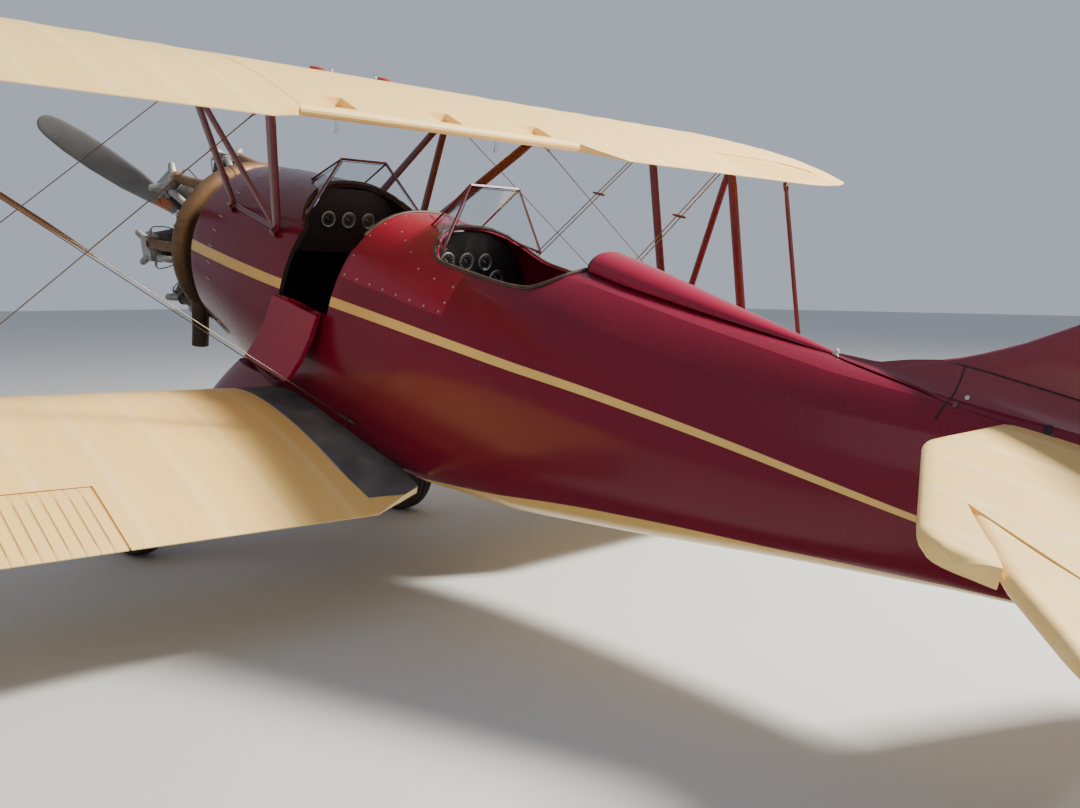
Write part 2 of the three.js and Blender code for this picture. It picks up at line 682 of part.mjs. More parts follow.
// The body of a solid that has most volume, where a cut leaves crumbs
function largest(geometry) {
  const parts = solid(geometry).decompose();
  return shape(parts.reduce((best, next) => (next.volume() > best.volume() ? next : best)));
}

const CABANE = {
  top: 831,
  fractions: [0.116, 0.671],
  feet: [[428, 1782, 630], [458, 2300, 600]],
};

// One side's N of struts, on a short rail along the fuselage
function cabane() {
  const flat = { ...UPPER, dihedral: 0 };
  const [front, rear] = CABANE.fractions.map((f) => panelPoint(flat, CABANE.top, f, 22));
  const [a, b] = CABANE.feet.map((p) => point(...p));
  const bars = [strut(front, a, 68, 30), strut(front, b, 60, 28), strut(rear, b, 74, 32)];
  const pads = [a, b].map((p) => rod(p, point(p.x - 40, p.y, p.z - 30), 17, 8));
  const whole = joined(...bars, rod(a, b, 15, 8), ...pads);
  return largest(cut(whole, moved(middleWing, 0, 0, -GAP), moved(outer, GAP, 0, GAP)));
}

// Streamlined wires of one side, in the planes of the front and rear spars
const WIRES = {
  front: { spar: SPAR.front, cabane: CABANE.fractions[0], foot: 2480 },
  rear: { spar: SPAR.rear, cabane: CABANE.fractions[1], foot: 3210 },
};
const WIRE_STATION = STRUT_STATION - 70;
const WIRE_FOOT = -150; // height of the flying wires' lower fittings

function trimmedWire(from, to) {
  const above = [upperPanel, middleWing].map((wing) => moved(wing, 0, 0, -GAP));
  const clear = [...above, moved(lowerPanel, 0, 0, GAP), moved(outer, GAP, 0, 0)];
  return largest(cut(strut(from, to, 14, 8, 4), ...clear));
}

// Carries lift: from the fuselage's lower edge out to the upper wing
function flyingWire({ spar, foot }) {
  const low = point(sideAt(foot, WIRE_FOOT) - 4, foot, WIRE_FOOT);
  return trimmedWire(low, underUpper(WIRE_STATION, spar, 6));
}

// Carries the wings' own weight: from the cabane's top out to the lower wing
function landingWire({ spar, cabane }) {
  const top = panelPoint(UPPER, CABANE.top + 40, cabane + 0.01, 6);
  return trimmedWire(top, onLower(WIRE_STATION, spar + 0.03, 60));
}

// Tail

const FIN = [
  [5440, 782], [5600, 838], [5790, 915], [5940, 1000], [6090, 1105], [6260, 1240], [6420, 1410],
  [6540, 1540], [6628, 1590], [6628, 340], [6500, 340], [6000, 500], [5600, 640],
];

// A flat surface with rounded edges, from an outline of station and height
function blade(outline, half) {
  const shrink = (k) => {
    const cx = outline.reduce((t, p) => t + p[0], 0) / outline.length;
    const cz = outline.reduce((t, p) => t + p[1], 0) / outline.length;
    return outline.map(([s, h]) => [cx + (s - cx) * k, cz + (h - cz) * k]);
  };
  const core = across(outline, -half * 0.45, half * 0.45);
  const face = across(shrink(0.965), -half, half);
  return joined(core, face);
}

function fin() {
  const plate = blade(FIN, 26);
  return largest(cut(plate, moved(outer, 0, 0, GAP), moved(outer, 0, GAP, 0)));
}

const RUDDER = [
  [6654, 296], [6654, 1620], [6760, 1668], [6900, 1660], [7080, 1570], [7230, 1410], [7350, 1190],
  [7410, 950], [7400, 720], [7330, 520], [7190, 372], [6980, 296],
];

function rudder() {
  const barrels = [370, 1000, 1500].flatMap((h) => [
    rod(point(0, RUDDER_HINGE, h - 40), point(0, RUDDER_HINGE, h + 40), 11.7, 14),
    box(-8, 8, RUDDER_HINGE, RUDDER_HINGE + 24, h - 30, h + 30),
  ]);
  const notch = box(-40, 40, RUDDER_HINGE, ELEVATOR_HINGE + 100, TAIL_HEIGHT - 60, TAIL_HEIGHT + 60);
  return cut(joined(blade(RUDDER, 22), ...barrels), notch);
}

// Tailplane outline of one side: buttline and station, with a notch for the elevator's pointed horn
const TAILPLANE = [
  [34, 5975], [540, 5975], [630, 5998], [1240, 6300], [1330, 6362], [1362, 6440], [1335, 6515],
  [1180, 6400], [1010, 6285], [1235, 6688], [84, 6688], [34, 6500],
];

function tailplane() {
  const slab = moved(upright(TAILPLANE, -30, 30), 0, 0, TAIL_HEIGHT);
  const clear = [[GAP, 0, 0], [0, GAP, 0], [GAP, 0, GAP], [GAP, 0, -GAP]].map((d) => moved(outer, ...d));
  return largest(cut(slab, ...clear));
}

const ELEVATOR = [
  [1260, 6712], [1044, 6326], [1200, 6437], [1345, 6540], [1585, 6765], [1650, 6860], [1640, 6960],
  [1540, 7060], [1300, 7150], [800, 7200], [390, 7200], [135, 6760], [110, 6712],
];

function elevators() {
  const leaf = upright(ELEVATOR, -24, 24);
  const other = sided(leaf, -1);
  const tube = rod(point(-140, ELEVATOR_HINGE + 30, 0), point(140, ELEVATOR_HINGE + 30, 0), 15, 10);
  const barrels = [-860, -360, 360, 860].flatMap((b) => [
    rod(point(b - 35, ELEVATOR_HINGE, 0), point(b + 35, ELEVATOR_HINGE, 0), 11.7, 14),
    box(b - 25, b + 25, ELEVATOR_HINGE, ELEVATOR_HINGE + 20, -8, 8),
  ]);
  return moved(joined(leaf, other, tube, ...barrels), 0, 0, TAIL_HEIGHT);
}

function tailBrace() {
  const top = point(760, 6430, TAIL_HEIGHT - 10);
  const foot = point(sideAt(6240, 330) - 12, 6240, 330);
  const bar = strut(top, foot, 46, 20, 8);
  return largest(cut(bar, moved(tailLeft, 0, 0, -GAP), moved(outer, GAP, 0, 0)));
}

// Landing gear

const AXLE = groundUnder(MAIN.s) + MAIN.radius / Math.cos(TILT);

// Height of the ground below a station, in the level frame
function groundUnder(s) {
  return (s * Math.sin(TILT) - DATUM_HEIGHT) / Math.cos(TILT);
}

function gearLeg() {
  // Columns: buttline, station of the middle, height, chord, thickness
  const rows = [
    [340, 2060, -230, 440, 120], [440, 1990, -400, 430, 112], [640, 1890, -760, 330, 92],
    [775, 1855, AXLE + 40, 220, 78], [800, 1850, AXLE - 34, 120, 60],
  ];
  const fairing = loft(rows.map(([b, s, h, chord, thick]) =>
    Array.from({ length: 14 }, (_, i) => {
      const t = (2 * Math.PI * i) / 14;
      const x = (Math.cos(t) * chord) / 2;
      return point(b + (Math.sin(t) * thick) / 2, s + x + chord * 0.06, h);
    }),
  ));
  const axle = rod(point(740, MAIN.s, AXLE), point(MAIN.b + MAIN.width / 2 + 14, MAIN.s, AXLE), 22, 16);
  const rear = strut(point(735, MAIN.s + 30, AXLE + 30), point(330, 2900, -360), 56, 30, 8);
  const body = [moved(outer, 0, 0, -GAP), moved(outer, GAP, 0, 0)];
  return largest(cut(joined(fairing, axle, rear), ...body, moved(lowerPanel, 0, 0, -GAP), lowerPanel));
}

function wheelRim() {
  const w = MAIN.width / 2;
  const profile = [[-w + 34, 23], [-w + 34, 46], [-w + 40, 118], [-w + 8, 138], [-w + 8, 152], [-30, 134],
    [30, 134], [w - 8, 152], [w - 8, 138], [w - 30, 118], [w - 18, 46], [w - 18, 23]];
  const points = profile.map(([x, r]) => new THREE.Vector2(r, x));
  points.push(points[0].clone());
  return new THREE.LatheGeometry(points, 20).rotateZ(-Math.PI / 2);
}

function tyreProfile(radius, width, bead, seat) {
  const w = width / 2;
  return [[-w + 10, bead], [-w + 2, bead + 26], [-w, (radius + bead) / 2], [-w + 14, radius - 26],
    [-w * 0.45, radius - 3], [0, radius], [w * 0.45, radius - 3], [w - 14, radius - 26],
    [w, (radius + bead) / 2], [w - 2, bead + 26], [w - 10, bead], [28, seat], [-28, seat]];
}

function tyre() {
  const profile = tyreProfile(MAIN.radius, MAIN.width, 152 + GAP, 134 + GAP * 3);
  const points = profile.map(([x, r]) => new THREE.Vector2(r, x));
  points.push(points[0].clone());
  return new THREE.LatheGeometry(points, 36).rotateZ(-Math.PI / 2);
}

// Tailwheel in the ground's frame, its own origin at the wheel's centre
const SWIVEL = { forward: 74, head: 236 };

function tailFork() {
  const cheek = (b) => strut(point(b, 0, 0), point(b, -SWIVEL.forward + 10, 158), 44, 9, 8);
  const crown = box(-58, 58, -SWIVEL.forward - 28, -SWIVEL.forward + 34, 146, 164);
  const post = rod(point(0, -SWIVEL.forward, 150), point(0, -SWIVEL.forward, SWIVEL.head - 4), 18, 14);
  const axle = rod(point(-58, 0, 0), point(58, 0, 0), 9, 12);
  return joined(cheek(-52), cheek(52), crown, post, axle);
}

function tailTyre() {
  const w = TAIL.width / 2;
  const profile = [[-w + 8, 10], [-w + 8, 52], [-w, 74], [-w + 4, 100], [-w + 16, 118], [0, TAIL.radius],
    [w - 16, 118], [w - 4, 100], [w, 74], [w - 8, 52], [w - 8, 10]];
  const points = profile.map(([x, r]) => new THREE.Vector2(r, x));
  points.push(points[0].clone());
  return new THREE.LatheGeometry(points, 24).rotateZ(-Math.PI / 2);
}

function levelToGround(s, h) {
  return [s * Math.cos(TILT) + h * Math.sin(TILT), -s * Math.sin(TILT) + h * Math.cos(TILT) + DATUM_HEIGHT];
}

const tailAxle = [TAIL.s, groundUnder(TAIL.s) + TAIL.radius / Math.cos(TILT)];

// Fixed tailwheel bracket: leaf springs from the fuselage to the swivel's bearing, level frame
function tailBracket() {
  const [s, h] = tailAxle;
  const up = [-Math.sin(TILT), Math.cos(TILT)];
  const fwd = [Math.cos(TILT), Math.sin(TILT)];
  const along = (k, rise) => up[k] * rise - fwd[k] * SWIVEL.forward;
  const head = (rise) => point(0, s + along(0, rise), h + along(1, rise));
  const bearing = rod(head(170), head(SWIVEL.head + 10), 32, 12);
  const bore = rod(head(160), head(SWIVEL.head), 19.5, 12);
  const spring = strut(head(206), point(0, 6150, 240), 30, 70, 6);
  const brace = strut(head(215), point(0, 6470, 310), 34, 34, 6);
  const [a, b, c] = [bearing, spring, brace].map((piece) => cut(piece, bore));
  return largest(cut(joined(a, b, c), moved(outer, 0, 0, -GAP)));
}

// Assembly

const upperPanel = placed(wingPanel(UPPER), UPPER);
const lowerPanel = placed(wingPanel(LOWER), LOWER);
const middleWing = centreSection();
const tailLeft = tailplane();
const motor = engine();

const aircraft = new THREE.Group();
aircraft.rotation.x = -TILT;

function add(name, geometry, [color, roughness, metalness], parent = aircraft) {
  const g = geometry.index ? geometry.toNonIndexed() : geometry.clone();
  g.computeVertexNormals();
  const mesh = new THREE.Mesh(g, new THREE.MeshStandardMaterial({ color, roughness, metalness }));
  mesh.name = name;
  parent.add(mesh);
  return mesh;
}

add("fuselage", fuselage(), COLOUR.maroon);
add("nose_cowl", noseCowl(), COLOUR.maroon);
add("mid_deck", midDeck(), COLOUR.maroon);
add("headrest", headrest(), COLOUR.maroon);
add("floor", floorBoard(), COLOUR.black);
add("front_seat", seat(...FRONT_SEAT), COLOUR.black);
add("front_cushion", cushion(...FRONT_SEAT), COLOUR.leather);
add("rear_seat", seat(...REAR_SEAT), COLOUR.black);
add("rear_cushion", cushion(...REAR_SEAT), COLOUR.leather);
add("front_panel", panel(2245, 828), COLOUR.black);
add("rear_panel", panel(3274, 812), COLOUR.black);
add("controls", controls(), COLOUR.steel);
for (const [name, corners] of Object.entries(SCREENS)) {
  add(`${name}_screen_frame`, screenFrame(corners), COLOUR.strut);
  add(`${name}_screen_glass`, screenGlass(corners), COLOUR.glass);
}

const doorMesh = add("door", moved(door(), -DOOR_HINGE.b, 0, -DOOR_HINGE.h), COLOUR.maroon);
doorMesh.position.set(DOOR_HINGE.b, 0, DOOR_HINGE.h);
doorMesh.rotation.y = DOOR_OPEN;

// The engine's own frame: Y runs aft along the crankshaft from its front end
const power = new THREE.Group();
power.position.set(0, ENGINE.s, ENGINE.h);
aircraft.add(power);
add("engine", motor, COLOUR.aluminium, power);
add("engine_mount", engineMount(), COLOUR.black, power);
add("exhaust", exhaust(), COLOUR.steel, power);
const prop = add("propeller", propeller(), COLOUR.aluminium, power);
prop.position.y = -40;
prop.rotation.y = -PROP_ANGLE;

add("centre_section", middleWing, COLOUR.cream);
for (const [side, sign] of [["left", 1], ["right", -1]]) {
  const put = (name, geometry, colour) => add(`${name}_${side}`, sided(geometry, sign), colour);
  put("upper_wing", wing(UPPER, AILERON.upper, 0.88, 250), COLOUR.cream);
  put("lower_wing", wing(LOWER, AILERON.lower, 0.89, 370), COLOUR.cream);
  put("upper_aileron", aileron(UPPER, AILERON.upper, false), COLOUR.cream);
  put("lower_aileron", aileron(LOWER, AILERON.lower, true), COLOUR.cream);
  put("aileron_rod", pushRod(), COLOUR.strut);
  put("cabane", cabane(), COLOUR.strut);
  put("interplane", interplane(), COLOUR.strut);
  for (const [name, plane] of Object.entries(WIRES)) {
    put(`flying_wire_${name}`, flyingWire(plane), COLOUR.wire);
    put(`landing_wire_${name}`, landingWire(plane), COLOUR.wire);
  }
  put("tailplane", tailLeft, COLOUR.cream);
  put("tail_brace", tailBrace(), COLOUR.strut);
  put("gear_leg", gearLeg(), COLOUR.maroon);
  const rim = put("wheel_rim", wheelRim(), COLOUR.aluminium);
  const rubber = put("tyre", tyre(), COLOUR.rubber);
  for (const piece of [rim, rubber]) piece.position.set(sign * MAIN.b, MAIN.s, AXLE);
}
add("fin", fin(), COLOUR.maroon);
add("rudder", rudder(), COLOUR.maroon);
add("elevators", elevators(), COLOUR.cream);
add("tail_bracket", tailBracket(), COLOUR.steel);

// The tailwheel swivels about an upright, so it is made level with the ground
const model = new THREE.Group();
const [forkY, forkZ] = levelToGround(...tailAxle);
const fork = add("tail_fork", tailFork(), COLOUR.steel, model);
const castor = add("tail_tyre", tailTyre(), COLOUR.rubber, model);
for (const piece of [fork, castor]) piece.position.set(0, forkY, forkZ - DATUM_HEIGHT);
model.add(aircraft);

// The group's origin is at the middle of the bottom of its box
const bounds = new THREE.Box3().setFromObject(model, true);
model.position.set(0, -(bounds.min.y + bounds.max.y) / 2, -bounds.min.z);
const whole = new THREE.Group();
whole.add(model);
whole.name = "biplane";

export default whole;
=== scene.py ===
import json
from math import copysign, cos, hypot, pi, radians, sin, sqrt

import bmesh
import bpy
from mathutils import Matrix, Vector


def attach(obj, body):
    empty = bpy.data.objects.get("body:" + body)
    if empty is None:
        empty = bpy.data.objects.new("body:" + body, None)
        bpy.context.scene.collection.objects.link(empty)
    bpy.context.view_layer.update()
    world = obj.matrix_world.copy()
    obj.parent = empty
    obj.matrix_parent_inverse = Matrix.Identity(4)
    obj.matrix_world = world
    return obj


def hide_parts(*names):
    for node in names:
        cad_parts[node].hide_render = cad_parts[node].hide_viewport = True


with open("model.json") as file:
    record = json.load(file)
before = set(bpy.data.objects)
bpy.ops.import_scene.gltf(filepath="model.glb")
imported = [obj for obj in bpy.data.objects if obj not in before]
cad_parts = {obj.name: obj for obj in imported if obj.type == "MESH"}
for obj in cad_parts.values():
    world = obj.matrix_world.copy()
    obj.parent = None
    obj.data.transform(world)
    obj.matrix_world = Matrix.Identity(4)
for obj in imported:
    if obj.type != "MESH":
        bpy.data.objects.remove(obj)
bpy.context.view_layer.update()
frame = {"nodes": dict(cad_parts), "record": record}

# The place of the aircraft. Its pieces are drawn as it is rigged in the shop, level: b runs to port,
# s runs aft from a datum ahead of the nose and h runs up. It then sits tail-down on its three wheels,
# so every drawn point is turned by the sitting angle and set from the propeller's hub.
TILT = radians(13.5)
HUB_STATION, HUB_HEIGHT, DATUM_HEIGHT = 0.46, 0.30, 1.75
hub = Vector(next(j["pos_m"] for j in frame["record"]["behaviour"]["joints"] if j["name"] == "propeller_spin"))
SHIFT = HUB_STATION * cos(TILT) + HUB_HEIGHT * sin(TILT) - hub.y
SITTING = Matrix.Translation((0, -SHIFT, DATUM_HEIGHT)) @ Matrix.Rotation(-TILT, 4, "X")


def level(b, s, h):
    """World place of a point given by buttline, station and height in metres."""
    return SITTING @ Vector((b, s, h))


# Camera, behind and to port of the tail at a standing person's chest, looking at the cockpits.
# The lens and the three angles were fitted to the wings' seams, the struts and the fuselage.
YAW, PITCH, ROLL = radians(45.874), radians(6.319), radians(0.259)
looking = Vector((-cos(YAW) * cos(PITCH), -sin(YAW) * cos(PITCH), -sin(PITCH)))
right = looking.cross(Vector((0, 0, 1))).normalized()
up = right.cross(looking)
turned_right = cos(ROLL) * right + sin(ROLL) * up
turned_up = cos(ROLL) * up - sin(ROLL) * right
bpy.ops.object.camera_add()
camera = bpy.context.object
camera.name = "photo_camera"
camera.data.sensor_width = 36
camera.data.lens = 36 * 1060.7 / 1080
eye = level(3.355, 7.185, 1.474)
camera.matrix_world = Matrix(
    [(turned_right[k], turned_up[k], -looking[k], eye[k]) for k in range(3)] + [(0, 0, 0, 1)])
camera.data.clip_end = 300
bpy.context.scene.camera = camera

# Studio: a plain pale floor that runs to the horizon, a large soft lamp high over the tail's starboard
# side, a weaker one on the port side, and an even pale surround for the gloss to mirror.
surround = bpy.data.worlds.new("surround")
surround.use_nodes = True
surround.node_tree.nodes["Background"].inputs["Color"].default_value = (0.78, 0.86, 1.0, 1)
surround.node_tree.nodes["Background"].inputs["Strength"].default_value = 0.55
bpy.context.scene.world = surround


def soft_lamp(name, place, target, size, watts, colour):
    bpy.ops.object.light_add(type="AREA", location=place)
    lamp = bpy.context.object
    lamp.name = name
    lamp.data.size = size
    lamp.data.energy = watts
    lamp.data.color = colour
    lamp.rotation_euler = (Vector(target) - Vector(place)).to_track_quat("-Z", "Y").to_euler()


soft_lamp("sky_lamp", (-8.0, 5.8, 10.6), (0, 0, 1), 2.6, 6800, (1, 0.95, 0.84))
soft_lamp("port_lamp", (9.0, 3.0, 5.0), (0, 0, 1.2), 6.0, 90, (0.95, 0.97, 1))

bpy.ops.mesh.primitive_plane_add(size=120)
floor = bpy.context.object
floor.name = "studio_floor"
floor_paint = bpy.data.materials.new("studio_floor")
floor_paint.use_nodes = True
floor_paint.node_tree.nodes["Principled BSDF"].inputs["Base Color"].default_value = (0.52, 0.53, 0.53, 1)
floor_paint.node_tree.nodes["Principled BSDF"].inputs["Roughness"].default_value = 0.85
floor.data.materials.append(floor_paint)


# Gloss paint over doped fabric and sheet: tools of the paint shop. A material is a Principled shader
# with a finish group in front of it; the group gives a colour that wanders a little, a roughness and
# the height of the small waves that make long reflections break up.
def new_material(name, **plain):
    """A material with its Principled shader; plain values go straight on the shader's sockets."""
    made = bpy.data.materials.new(name)
    made.use_nodes = True
    shader = made.node_tree.nodes["Principled BSDF"]
    for socket, value in plain.items():
        shader.inputs[socket.replace("_", " ")].default_value = value
    return made, made.node_tree, shader


def node(tree, kind, links=None, **settings):
    """A node with its settings, and links or values for its inputs by name or number."""
    made = tree.nodes.new(kind)
    for key, value in settings.items():
        setattr(made, key, value)
    for key, value in (links or {}).items():
        if isinstance(value, bpy.types.NodeSocket):
            tree.links.new(value, made.inputs[key])
        else:
            made.inputs[key].default_value = value
    return made


def noise(tree, at, scale, detail, **more):
    return node(tree, "ShaderNodeTexNoise", {"Vector": at, "Scale": scale, "Detail": detail, **more}).outputs[0]


def bumped(tree, shader, height, strength, distance):
    """Presses a height into a shader's normal."""
    relief = node(tree, "ShaderNodeBump", {"Height": height, "Strength": strength, "Distance": distance})
    tree.links.new(relief.outputs[0], shader.inputs["Normal"])


def maths(tree, operation, *terms, clamp=False):
    made = node(tree, "ShaderNodeMath", dict(enumerate(terms)), operation=operation)
    made.use_clamp = clamp
    return made.outputs[0]


def times(tree, *terms, clamp=False):
    return maths(tree, "MULTIPLY", *terms, clamp=clamp)


def plus(tree, *terms):
    return maths(tree, "ADD", *terms)


def mixed(tree, share, a, b):
    made = node(tree, "ShaderNodeMix", data_type="RGBA")
    for key, value in (("Factor", share), ("A", a), ("B", b)):
        socket = next(i for i in made.inputs if i.name == key and (i.type == "RGBA") == (key != "Factor"))
        if isinstance(value, bpy.types.NodeSocket):
            tree.links.new(value, socket)
        else:
            socket.default_value = value
    return next(o for o in made.outputs if o.type == "RGBA")


def shop_place(tree):
    """Sockets with buttline, station and height of the point, from the piece's object coordinates."""
    where = node(tree, "ShaderNodeTexCoord")
    moved = node(tree, "ShaderNodeMapping", {"Vector": where.outputs["Object"],
                 "Location": (0, SHIFT, -DATUM_HEIGHT)}, vector_type="POINT")
    level_at = node(tree, "ShaderNodeVectorRotate", {"Vector": moved.outputs[0], "Axis": (1, 0, 0),
                    "Angle": TILT}, rotation_type="AXIS_ANGLE")
    apart = node(tree, "ShaderNodeSeparateXYZ", {0: level_at.outputs[0]})
    return level_at.outputs[0], apart.outputs[0], apart.outputs[1], apart.outputs[2]


def finish_group(name, **numbers):
    """An empty finish group: a colour and numbers go in, colour, roughness and height come out."""
    tree = bpy.data.node_groups.new(name, "ShaderNodeTree")
    tree.interface.new_socket("Colour", in_out="INPUT", socket_type="NodeSocketColor")
    for key, value in numbers.items():
        made = tree.interface.new_socket(key, in_out="INPUT", socket_type="NodeSocketFloat")
        made.default_value = value
    for key, kind in (("Colour", "Color"), ("Roughness", "Float"), ("Height", "Float")):
        tree.interface.new_socket(key, in_out="OUTPUT", socket_type="NodeSocket" + kind)
    return tree, tree.nodes.new("NodeGroupInput"), tree.nodes.new("NodeGroupOutput")


gloss, given, made = finish_group("gloss_paint", Roughness=0.2, Wave=1.0, Dust=0.15)
place, *_ = shop_place(gloss)
cloud = noise(gloss, place, 1.7, 4.0)
wave = noise(gloss, place, 9.0, 1.0)
peel = noise(gloss, place, 260.0, 2.0)
speck = noise(gloss, place, 75.0, 5.0, Roughness=0.8)
deeper = mixed(gloss, times(gloss, cloud, 0.42), given.outputs["Colour"],
               (0.05, 0.004, 0.01, 1))
dusty = times(gloss, maths(gloss, "POWER", speck, 4.0), given.outputs["Dust"])
gloss.links.new(mixed(gloss, dusty, deeper, (0.55, 0.47, 0.42, 1)), made.inputs["Colour"])
rough = plus(gloss, given.outputs["Roughness"], times(gloss, cloud, 0.12))
gloss.links.new(plus(gloss, rough, dusty), made.inputs["Roughness"])
waves = times(gloss, wave, given.outputs["Wave"])
gloss.links.new(plus(gloss, waves, times(gloss, peel, 0.02)),
                made.inputs["Height"])


def finished(made, shader, group, colour, bump=0.3, distance=0.004, **numbers):
    """Puts a finish group before a shader; colour may be a value or a socket."""
    tree = made.node_tree
    front = node(tree, "ShaderNodeGroup", node_tree=group)
    for key, value in {"Colour": colour, **numbers}.items():
        if isinstance(value, bpy.types.NodeSocket):
            tree.links.new(value, front.inputs[key])
        else:
            front.inputs[key].default_value = value
    tree.links.new(front.outputs["Colour"], shader.inputs["Base Color"])
    tree.links.new(front.outputs["Roughness"], shader.inputs["Roughness"])
    bumped(tree, shader, front.outputs["Height"], bump, distance)


def glossy(name, colour, roughness, wave=1.0, dust=0.15, **plain):
    """A material with the gloss finish before it; plain values go on the shader."""
    made, _, shader = new_material(name, **plain)
    finished(made, shader, gloss, colour, Roughness=roughness, Wave=wave, Dust=dust)
    return made


RED = (0.165, 0.0012, 0.019, 1)
CREAM = (0.90, 0.59, 0.17, 1)


def curve_height(tree, along, start, end, low, high, points):
    """Height of a painted line over the station: points are given in metres."""
    share = node(tree, "ShaderNodeMapRange", {"Value": along, "From Min": start, "From Max": end})
    line = node(tree, "ShaderNodeFloatCurve", {"Value": share.outputs[0]})
    curve = line.mapping.curves[0]
    placed = [((s - start) / (end - start), (h - low) / (high - low)) for s, h in points]
    curve.points[0].location, curve.points[1].location = placed[0], placed[-1]
    for x, y in placed[1:-1]:
        curve.points.new(x, y)
    for mark in curve.points:
        mark.handle_type = "AUTO"
    line.mapping.update()
    return plus(tree, times(tree, line.outputs[0], high - low), low)


# The fuselage's own paint: red gloss with one cream line that narrows towards the tail, and a cream
# belly behind the wings. The line follows the body's widest part.
def body_paint(name, belly):
    made, tree, shader = new_material(name, Coat_Weight=0.10, Coat_Roughness=0.05, Specular_IOR_Level=0.22)
    _, _, s_at, h_at = shop_place(tree)
    middle = curve_height(tree, s_at, 1.4, 6.4, 0.30, 0.50,
                          [(1.4, 0.34), (2.5, 0.355), (3.0, 0.378), (4.0, 0.41), (4.9, 0.43), (5.9, 0.41),
                           (6.4, 0.40)])
    width = node(tree, "ShaderNodeMapRange", {"Value": s_at, "From Min": 1.4, "From Max": 6.1,
                 "To Min": 0.031, "To Max": 0.010})
    off = maths(tree, "ABSOLUTE", maths(tree, "SUBTRACT", h_at, middle))
    line = times(tree, maths(tree, "SUBTRACT", width.outputs[0], off), 900.0, clamp=True)
    line = times(tree, line, maths(tree, "LESS_THAN", s_at, 6.12))
    colour = mixed(tree, line, RED, CREAM)
    if belly:
        edge = curve_height(tree, s_at, 3.2, 6.6, -0.40, 0.40,
                            [(3.2, -0.40), (4.0, -0.20), (4.76, 0.0), (5.56, 0.15), (6.21, 0.26), (6.6, 0.33)])
        under = times(tree, maths(tree, "SUBTRACT", edge, h_at), 600.0, clamp=True)
        colour = mixed(tree, under, colour, CREAM)
    finished(made, shader, gloss, colour, Roughness=0.16, Wave=1.0, Dust=0.10)
    return made


fuselage_paint = body_paint("fuselage_paint", belly=True)
# Painted light: the deck, headrest and door take this lighter copy of the fuselage's red, standing for sunlight on
# them.
sunlit_red_paint = glossy("sunlit_red_paint", (0.28, 0.0015, 0.030, 1), 0.15, 0.5, 0.08, Coat_Weight=0.15, Coat_Roughness=0.05,
                   Specular_IOR_Level=0.3)
inside_paint = glossy("inside_paint", (0.012, 0.012, 0.013, 1), 0.55, 0.3, 0.25, Specular_IOR_Level=0.3)

# Fuselage: a welded tube frame with light formers and stringers, covered with doped fabric that sinks
# a little between them, and with sheet metal ahead of the rear cockpit. Both cockpits and the port
# door are cut out of it. It is drawn out ring by ring, given its wall, and then cut.
# Columns: station, half width, top, widest height, bottom, roundness above and below
BODY = [
    (1.44, 0.500, 0.825, 0.320, -0.235, 2.0, 2.0),
    (1.70, 0.515, 0.845, 0.290, -0.305, 2.1, 2.0),
    (2.00, 0.528, 0.860, 0.230, -0.365, 2.2, 2.1),
    (2.37, 0.530, 0.868, 0.190, -0.400, 2.3, 2.6),
    (3.00, 0.520, 0.828, 0.160, -0.408, 2.4, 3.1),
    (3.60, 0.495, 0.835, 0.160, -0.365, 2.4, 3.2),
    (4.20, 0.455, 0.835, 0.170, -0.262, 2.4, 3.2),
    (4.80, 0.385, 0.808, 0.200, -0.108, 2.3, 3.2),
    (5.40, 0.295, 0.788, 0.270, 0.052, 2.2, 3.2),
    (6.00, 0.185, 0.805, 0.380, 0.192, 2.1, 3.0),
    (6.60, 0.050, 0.830, 0.480, 0.305, 2.0, 2.6),
]


def deselected():
    if bpy.context.object and bpy.context.object.mode != "OBJECT":
        bpy.ops.object.mode_set(mode="OBJECT")
    bpy.ops.object.select_all(action="DESELECT")


def alone(piece):
    deselected()
    piece.select_set(True)
    bpy.context.view_layer.objects.active = piece


def edited(piece, *steps):
    """Runs edit-mode steps with the whole of one piece selected."""
    alone(piece)
    bpy.ops.object.mode_set(mode="EDIT")
    bpy.ops.mesh.select_all(action="SELECT")
    for step in steps:
        step()
    bpy.ops.object.mode_set(mode="OBJECT")


def facing_out():
    bpy.ops.mesh.select_all(action="SELECT")
    bpy.ops.mesh.normals_make_consistent(inside=False)


def drawn(name, rings, closed=False):
    """A grid wrapped round into a tube, one row for each ring of points, sewn up and filled at its ends."""
    count, rows = len(rings[0]), len(rings)
    deselected()
    bpy.ops.mesh.primitive_grid_add(x_subdivisions=count, y_subdivisions=rows - (0 if closed else 1))
    piece = bpy.context.object
    piece.name = name
    flat = []
    for row in range(rows + (1 if closed else 0)):
        ring = rings[row % rows]
        for k in range(count + 1):
            flat.extend(ring[k % count])
    piece.data.vertices.foreach_set("co", flat)
    edited(piece, lambda: bpy.ops.mesh.remove_doubles(threshold=0.000002),
           lambda: bpy.ops.mesh.fill_holes(sides=0), facing_out)
    return piece


def with_modifier(piece, kind, **settings):
    """Adds a modifier to a piece and applies it."""
    alone(piece)
    added = piece.modifiers.new(kind.lower(), kind)
    for key, value in settings.items():
        setattr(added, key, value)
    bpy.ops.object.modifier_apply(modifier=added.name)
    return piece


def cut_from(piece, *tools):
    for tool in tools:
        with_modifier(piece, "BOOLEAN", operation="DIFFERENCE", object=tool, solver="EXACT")
        bpy.data.objects.remove(tool, do_unlink=True)
    return piece


def smooth(piece, degrees=32):
    alone(piece)
    bpy.ops.object.shade_smooth_by_angle(angle=radians(degrees))
    return piece


def painted(piece, *materials):
    piece.data.materials.clear()
    for material in materials:
        piece.data.materials.append(material)
    return piece


